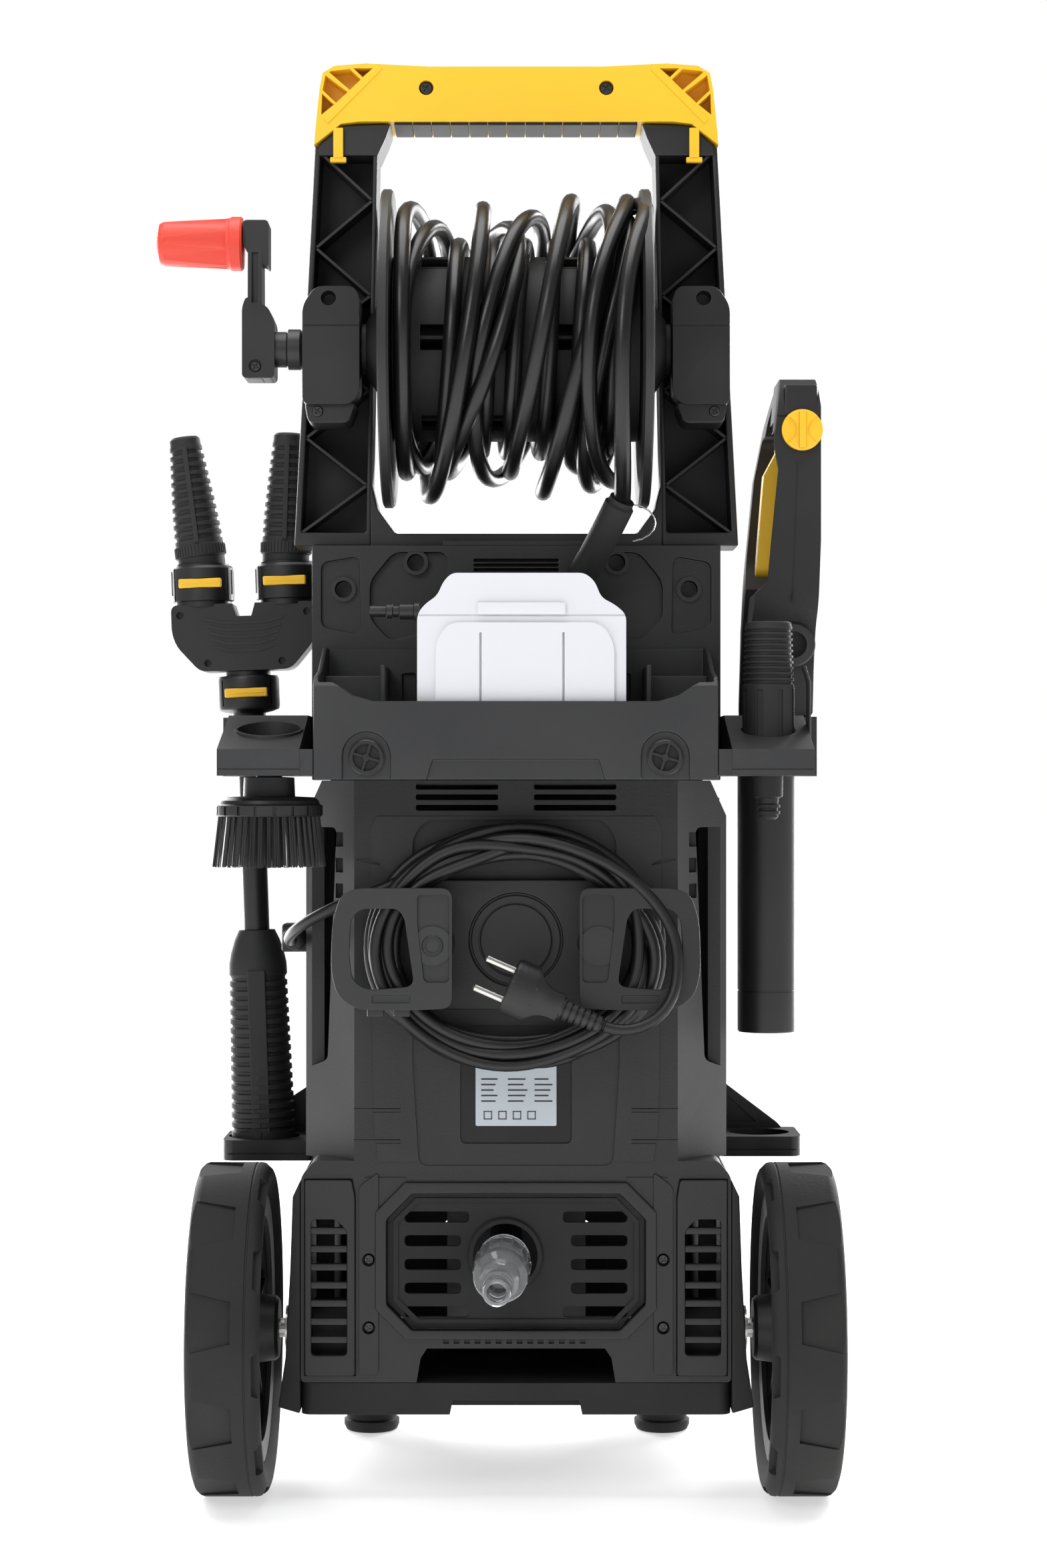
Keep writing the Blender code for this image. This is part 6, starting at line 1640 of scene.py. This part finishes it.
    bed = soft_plate([(-0.0338, 0.2232), (0.0338, 0.2232), (0.0338, 0.2843), (-0.0338, 0.2843)], 0.004, REAR + 0.0016,
        REAR + 0.0027)
    settle("rating_bed", bed, "deep", "root", slot="black_plastic")
    plate = soft_plate([(-0.025, 0.2335), (0.025, 0.2335), (0.025, 0.277), (-0.025, 0.277)], 0.001, REAR + 0.001, REAR
        + 0.0017)
    settle("rating_plate", plate, "label", "root")
    marks = []
    for row in range(5):
        z = 0.262 - 0.0034 * row
        for column, width in enumerate((0.01, 0.012, 0.011)):
            x = -0.0215 + 0.0165 * column
            marks.append(block((x, x + width - 0.0012 * ((row + column) % 3)), (REAR + 0.0008, REAR + 0.0011),
                (z, z + 0.0009)))
    for x in (-0.02, -0.011, -0.002, 0.007):
        marks.append(block((x, x + 0.0052), (REAR + 0.0008, REAR + 0.0011), (0.2375, 0.2381)))
        marks.append(block((x, x + 0.0052), (REAR + 0.0008, REAR + 0.0011), (0.2421, 0.2427)))
        marks.append(block((x, x + 0.0006), (REAR + 0.0008, REAR + 0.0011), (0.2375, 0.2427)))
        marks.append(block((x + 0.0046, x + 0.0052), (REAR + 0.0008, REAR + 0.0011), (0.2375, 0.2427)))
    settle("rating_marks", together(*marks), "ink", "root")

    low, high = span("front_shell")
    half, back, face = high.x, low.y, high.y
    side_view = [(back, low.z), (face - 0.01, low.z), (face, 0.11), (face, 0.3), (face - 0.016, 0.42), (face - 0.045,
        0.5), (face - 0.08, high.z), (back, high.z)]
    body = prism("YZ", rounded_outline(side_view, 0.012), -half, half)
    inside = prism("YZ", [(back - 0.01, low.z - 0.01), (face - 0.02, low.z - 0.01), (face - 0.006, 0.114),
        (face - 0.006, 0.299), (face - 0.022, 0.418), (face - 0.051, 0.498), (face - 0.086, high.z - WALL),
        (back - 0.01, high.z - WALL)], -0.119, 0.119)
    cuts = [inside]
    for s in (-1, 1):
        cuts.append(block((s * 0.122, s * 0.16), (back - 0.01, 0.3), (0.436, 0.62)))
        for number in range(7):
            z = 0.15 + 0.013 * number
            cuts.append(prism("YZ", rounded_outline([(0.05, z), (0.118, z), (0.118, z + 0.006), (0.05, z + 0.006)],
                0.0028), s * 0.126, s * 0.14))
        cuts.append(prism("YZ", rounded_outline([(0.04, 0.27), (0.12, 0.27), (0.112, 0.405), (0.04, 0.405)], 0.012), s
            * 0.1315, s * 0.14))
    cuts.append(soft_plate([(-0.085, 0.115), (0.085, 0.115), (0.095, 0.295), (-0.095, 0.295)], 0.02, face - 0.003, face
        + 0.01))
    cuts += [soft_plate([(-0.05, z), (0.05, z), (0.05, z + 0.006), (-0.05, z + 0.006)], 0.0028, face - 0.01, face
        + 0.01) for z in [0.135 + 0.014 * number for number in range(6)]]
    cuts.append(rod("Y", (0, 0, 0.26), 0.024, face - 0.0036, face + 0.01, 56))
    shell = carved(body, cuts=cuts, edge=edge * 1.6)
    settle("front_casing", shell, "casing", "root", ["front_shell"])
    low, high = span("switch_knob")
    z = (low.z + high.z) / 2
    knob = turned("Y", (0, 0, z), [(0.0, low.y), (0.022, low.y), (0.0218, low.y + 0.005), (0.0205, high.y - 0.0025),
        (0.019, high.y - 0.0022), (0.0, high.y - 0.0022)], 64)
    grip = block((-0.0035, 0.0035), (high.y - 0.006, high.y), (z - 0.0185, z + 0.0185), 0.0014)
    bites = ring_of(rod("Y", (0.0232, 0, z), 0.0028, low.y + 0.0015, high.y + 0.001, 16), 16, "Y", (0, 0, z))
    settle("switch_dial", together(carved(knob, cuts=[bites], edge=0.0004), grip), "yellow", "switch", ["switch_knob"])


class WASHER_OT_casing(bpy.types.Operator):
    """Rear and front shells with their vents, panel lines and blank rating plate"""

    bl_idname = "washer.casing"
    bl_label = "Casing"

    def execute(self, context):
        build_casing(context)
        return {"FINISHED"}


def build_wheels(context):
    sizes = context.scene.washer_sizes
    edge = sizes.edge
    for side, s in SIDES:
        low, high = span(f"tyre_{side}")
        y, z = (low.y + high.y) / 2, (low.z + high.z) / 2
        centre = (0, y, z)
        inner, outer = sorted((abs(low.x), abs(high.x)))
        r = (high.z - low.z) / 2
        profile = [(0.0835, inner + 0.004), (0.088, inner + 0.0018), (0.094, inner), (0.0975, inner), (0.099, inner
            + 0.0006), (0.101, inner + 0.0016), (0.1026, inner + 0.0034), (r - 0.0002, inner + 0.006), (r, inner
            + 0.008), (r - 0.0005, inner + 0.0084), (r - 0.0005, inner + 0.0092), (r, inner + 0.0096), (r, outer
            - 0.006), (r - 0.0008, outer - 0.0035), (r - 0.003, outer - 0.0012), (r - 0.0065, outer), (0.092, outer),
            (0.087, outer - 0.0018), (0.0835, outer - 0.004)]
        tyre = turned("X", centre, [(radius, s * along) for radius, along in profile], 120)
        half_count = sizes.tread_pockets // 2
        pocket = prism("XY", [(s * (inner + 0.017), y - 0.0125), (s * (outer + 0.002), y - 0.0195), (s * (outer
            + 0.002), y + 0.0195), (s * (inner + 0.017), y + 0.0125)], z + r - 0.0026, z + r + 0.004)
        nick = prism("XY", [(s * (inner - 0.002), y - 0.016), (s * (inner + 0.0045), y - 0.012), (s * (inner + 0.0045),
            y + 0.012), (s * (inner - 0.002), y + 0.016)], z + r - 0.006, z + r + 0.004)
        pockets = ring_of(pocket, half_count, "X", centre, 0.12)
        nicks = ring_of(nick, half_count, "X", centre, 0.12 + math.pi / half_count)
        tyre = carved(tyre, cuts=[pockets, nicks], edge=0.0007)
        settle(f"tyre_ring_{side}", tyre, "tyre", f"wheel_{side}", [f"tyre_{side}"], "tyre_rubber")

        ring = [(0.07, inner + 0.005), (0.0832, inner + 0.0042), (0.0832, outer - 0.0042), (0.08, outer - 0.003),
            (0.076, outer - 0.004), (0.0745, outer - 0.012), (0.07, outer - 0.016), (0.068, outer - 0.022),
            (0.072, outer - 0.0215), (0.076, outer - 0.017), (0.0775, inner + 0.009), (0.073, inner + 0.0075),
            (0.07, inner + 0.008)]
        hoop = turned("X", centre, [(radius, s * along) for radius, along in ring], 96)
        hub = turned("X", centre, [(radius, s * along) for radius, along in [(0.0066, inner - 0.005), (0.018, inner
            - 0.005), (0.02, inner - 0.003), (0.023, outer - 0.026), (0.033, outer - 0.024), (0.034, outer - 0.02),
            (0.034, outer - 0.004), (0.03, outer - 0.0024), (0.0066, outer - 0.0024)]], 64)
        spoke = prism("YZ", [(y - 0.012, z + 0.02), (y - 0.0085, z + 0.078), (y + 0.0085, z + 0.078), (y + 0.012, z
            + 0.02)], s * (outer - 0.024), s * (outer - 0.015))
        pierced = prism("YZ", rounded_outline([(y - 0.006, z + 0.038), (y - 0.0045, z + 0.069), (y + 0.0045, z
            + 0.069), (y + 0.006, z + 0.038)], 0.003), s * (outer - 0.03), s * (outer - 0.01))
        spoke = carved(spoke, cuts=[pierced], edge=0.0012)
        rib = block((s * (inner + 0.01), s * (outer - 0.02)), (y - 0.0012, y + 0.0012), (z + 0.019, z + 0.075), 0.0004)
        settle(f"wheel_rim_{side}", together(hoop, hub, ring_of(spoke, 6, "X", centre), ring_of(rib, 12, "X", centre,
            0.26)), "casing", f"wheel_{side}", [f"rim_{side}"])
        low, high = span(f"hubcap_{side}")
        face, top = sorted((abs(low.x), abs(high.x)))
        cap = turned("X", centre, [(radius, s * along) for radius, along in [(0.0, face), (0.034, face), (0.034, face
            + 0.0012), (0.0325, face + 0.0026), (0.028, top), (0.015, top), (0.0142, top - 0.001), (0.0, top
            - 0.001)]], 64)
        bites = ring_of(rod("X", (0, y, z + 0.022), 0.004, min(s * (top - 0.0012), s * (top + 0.01)), max(s
            * (top - 0.0012), s * (top + 0.01)), 20), 3, "X", centre)
        settle(f"hub_cover_{side}", carved(cap, cuts=[bites], edge=0.0004), "yellow", f"wheel_{side}", [
            f"hubcap_{side}"])
        washer = turned("X", centre, [(radius, s * along) for radius, along in [(0.0061, 0.1425), (0.0135, 0.1425),
            (0.014, 0.143), (0.014, 0.1442), (0.0061, 0.1442)]], 40)
        pin = rod("X", (0, y - 0.008, z + 0.006), 0.0016, min(s * 0.1445, s * 0.1475), max(s * 0.1445, s * 0.1475), 16,
            edge=0.0003)
        settle(f"axle_washer_{side}", together(washer, pin), "steel", "root")

    low, high = span("base")
    top = 0.0747
    plan = rounded_outline([(low.x, low.y), (high.x, low.y), (high.x, high.y), (low.x, high.y)], 0.008)
    plate = prism("XY", plan, 0.055, top)
    notch = prism("XZ", [(-0.042, 0.05), (0.042, 0.05), (0.039, 0.064), (-0.039, 0.064)], low.y - 0.01, low.y + 0.03)
    under = block((low.x + 0.004, high.x - 0.004), (low.y + 0.034, high.y - 0.004), (0.05, 0.06))
    axle = span("axle")
    axle_y = (axle[0].y + axle[1].y) / 2
    bearers = [prism("YZ", rounded_outline([(axle_y - 0.02, 0.07), (axle_y + 0.02, 0.07), (axle_y + 0.014, 0.1215),
        (axle_y - 0.014, 0.1215)], 0.008), s * 0.105, s * 0.127) for s in (-1, 1)]
    legs = [prism("XY", rounded_outline([(s * 0.08, 0.113), (s * 0.12, 0.113), (s * 0.12, 0.151), (s * 0.08, 0.151)],
        0.006), 0.0203, 0.057) for s in (-1, 1)]
    bore = rod("X", (0, axle_y, 0.1035), 0.0066, -0.14, 0.14)
    body = carved(plate, adds=[*bearers, *legs], cuts=[notch, under, bore], edge=edge)
    ribs = [block((x - 0.001, x + 0.001), (low.y + 0.036, high.y - 0.006), (0.0552, 0.0602)) for x in (-0.09, -0.06,
        -0.03, 0.0, 0.03, 0.06, 0.09)]
    settle("base_tray", together(body, *ribs), "deep", "root", ["base"], "black_plastic")
    brackets = [prism("XZ", [(s * 0.1333, 0.056), (s * 0.147, 0.06), (s * 0.1425, 0.09), (s * 0.1395, 0.145),
        (s * 0.138, 0.19), (s * 0.1333, 0.2)], axle_y - 0.034, axle_y - 0.016, edge) for s in (-1, 1)]
    settle("axle_brackets", together(*brackets), "deep", "root", slot="black_plastic")
    for side, s in SIDES:
        low, high = span(f"foot_{side}")
        x, y = (low.x + high.x) / 2, (low.y + high.y) / 2
        foot = turned("Z", (x, y, 0), [(0.0, 0.0), (0.016, 0.0), (0.0175, 0.0008), (0.019, 0.004), (0.019, 0.0075),
            (0.0172, 0.0085), (0.0172, 0.011), (0.0188, 0.012), (0.0188, 0.018), (0.0178, 0.02), (0.0, 0.02)], 56)
        settle(f"rubber_foot_{side}", foot, "tyre", "root", [f"foot_{side}"], "foot_rubber")
    for name, finish_name in (("axle", "steel"), ("motor", "dark steel"), ("pump", "dark steel"), ("reel_shaft",
        "casing")):
        for slot in context.scene.objects[name].material_slots:
            slot.material = look(finish_name)


class WASHER_OT_wheels(bpy.types.Operator):
    """Base, axle, wheels and feet"""

    bl_idname = "washer.wheels"
    bl_label = "Wheels and base"

    def execute(self, context):
        build_wheels(context)
        return {"FINISHED"}


# The add-on


class WASHER_PT_panel(bpy.types.Panel):
    bl_label = "Pressure washer"
    bl_idname = "WASHER_PT_panel"
    bl_space_type = "VIEW_3D"
    bl_region_type = "UI"
    bl_category = "Washer"

    def draw(self, context):
        for group in (context.scene.washer_sizes, context.scene.washer_colours):
            for name in group.__annotations__:
                self.layout.prop(group, name)
        for operator in OPERATORS:
            self.layout.operator(operator.bl_idname)


OPERATORS = (
    WASHER_OT_stage, WASHER_OT_cords, WASHER_OT_handle, WASHER_OT_reel, WASHER_OT_gun, WASHER_OT_lance,
    WASHER_OT_attachments, WASHER_OT_tray, WASHER_OT_hooks, WASHER_OT_casing, WASHER_OT_wheels)
CLASSES = (WasherSizes, WasherColours, *OPERATORS, WASHER_PT_panel)


def register():
    for kind in CLASSES:
        bpy.utils.register_class(kind)
    bpy.types.Scene.washer_sizes = PointerProperty(type=WasherSizes)
    bpy.types.Scene.washer_colours = PointerProperty(type=WasherColours)


def unregister():
    del bpy.types.Scene.washer_sizes
    del bpy.types.Scene.washer_colours
    for kind in reversed(CLASSES):
        bpy.utils.unregister_class(kind)


def main():
    register()
    for operator in OPERATORS:
        family, name = operator.bl_idname.split(".")
        getattr(getattr(bpy.ops, family), name)()


if __name__ == "__main__":
    main()
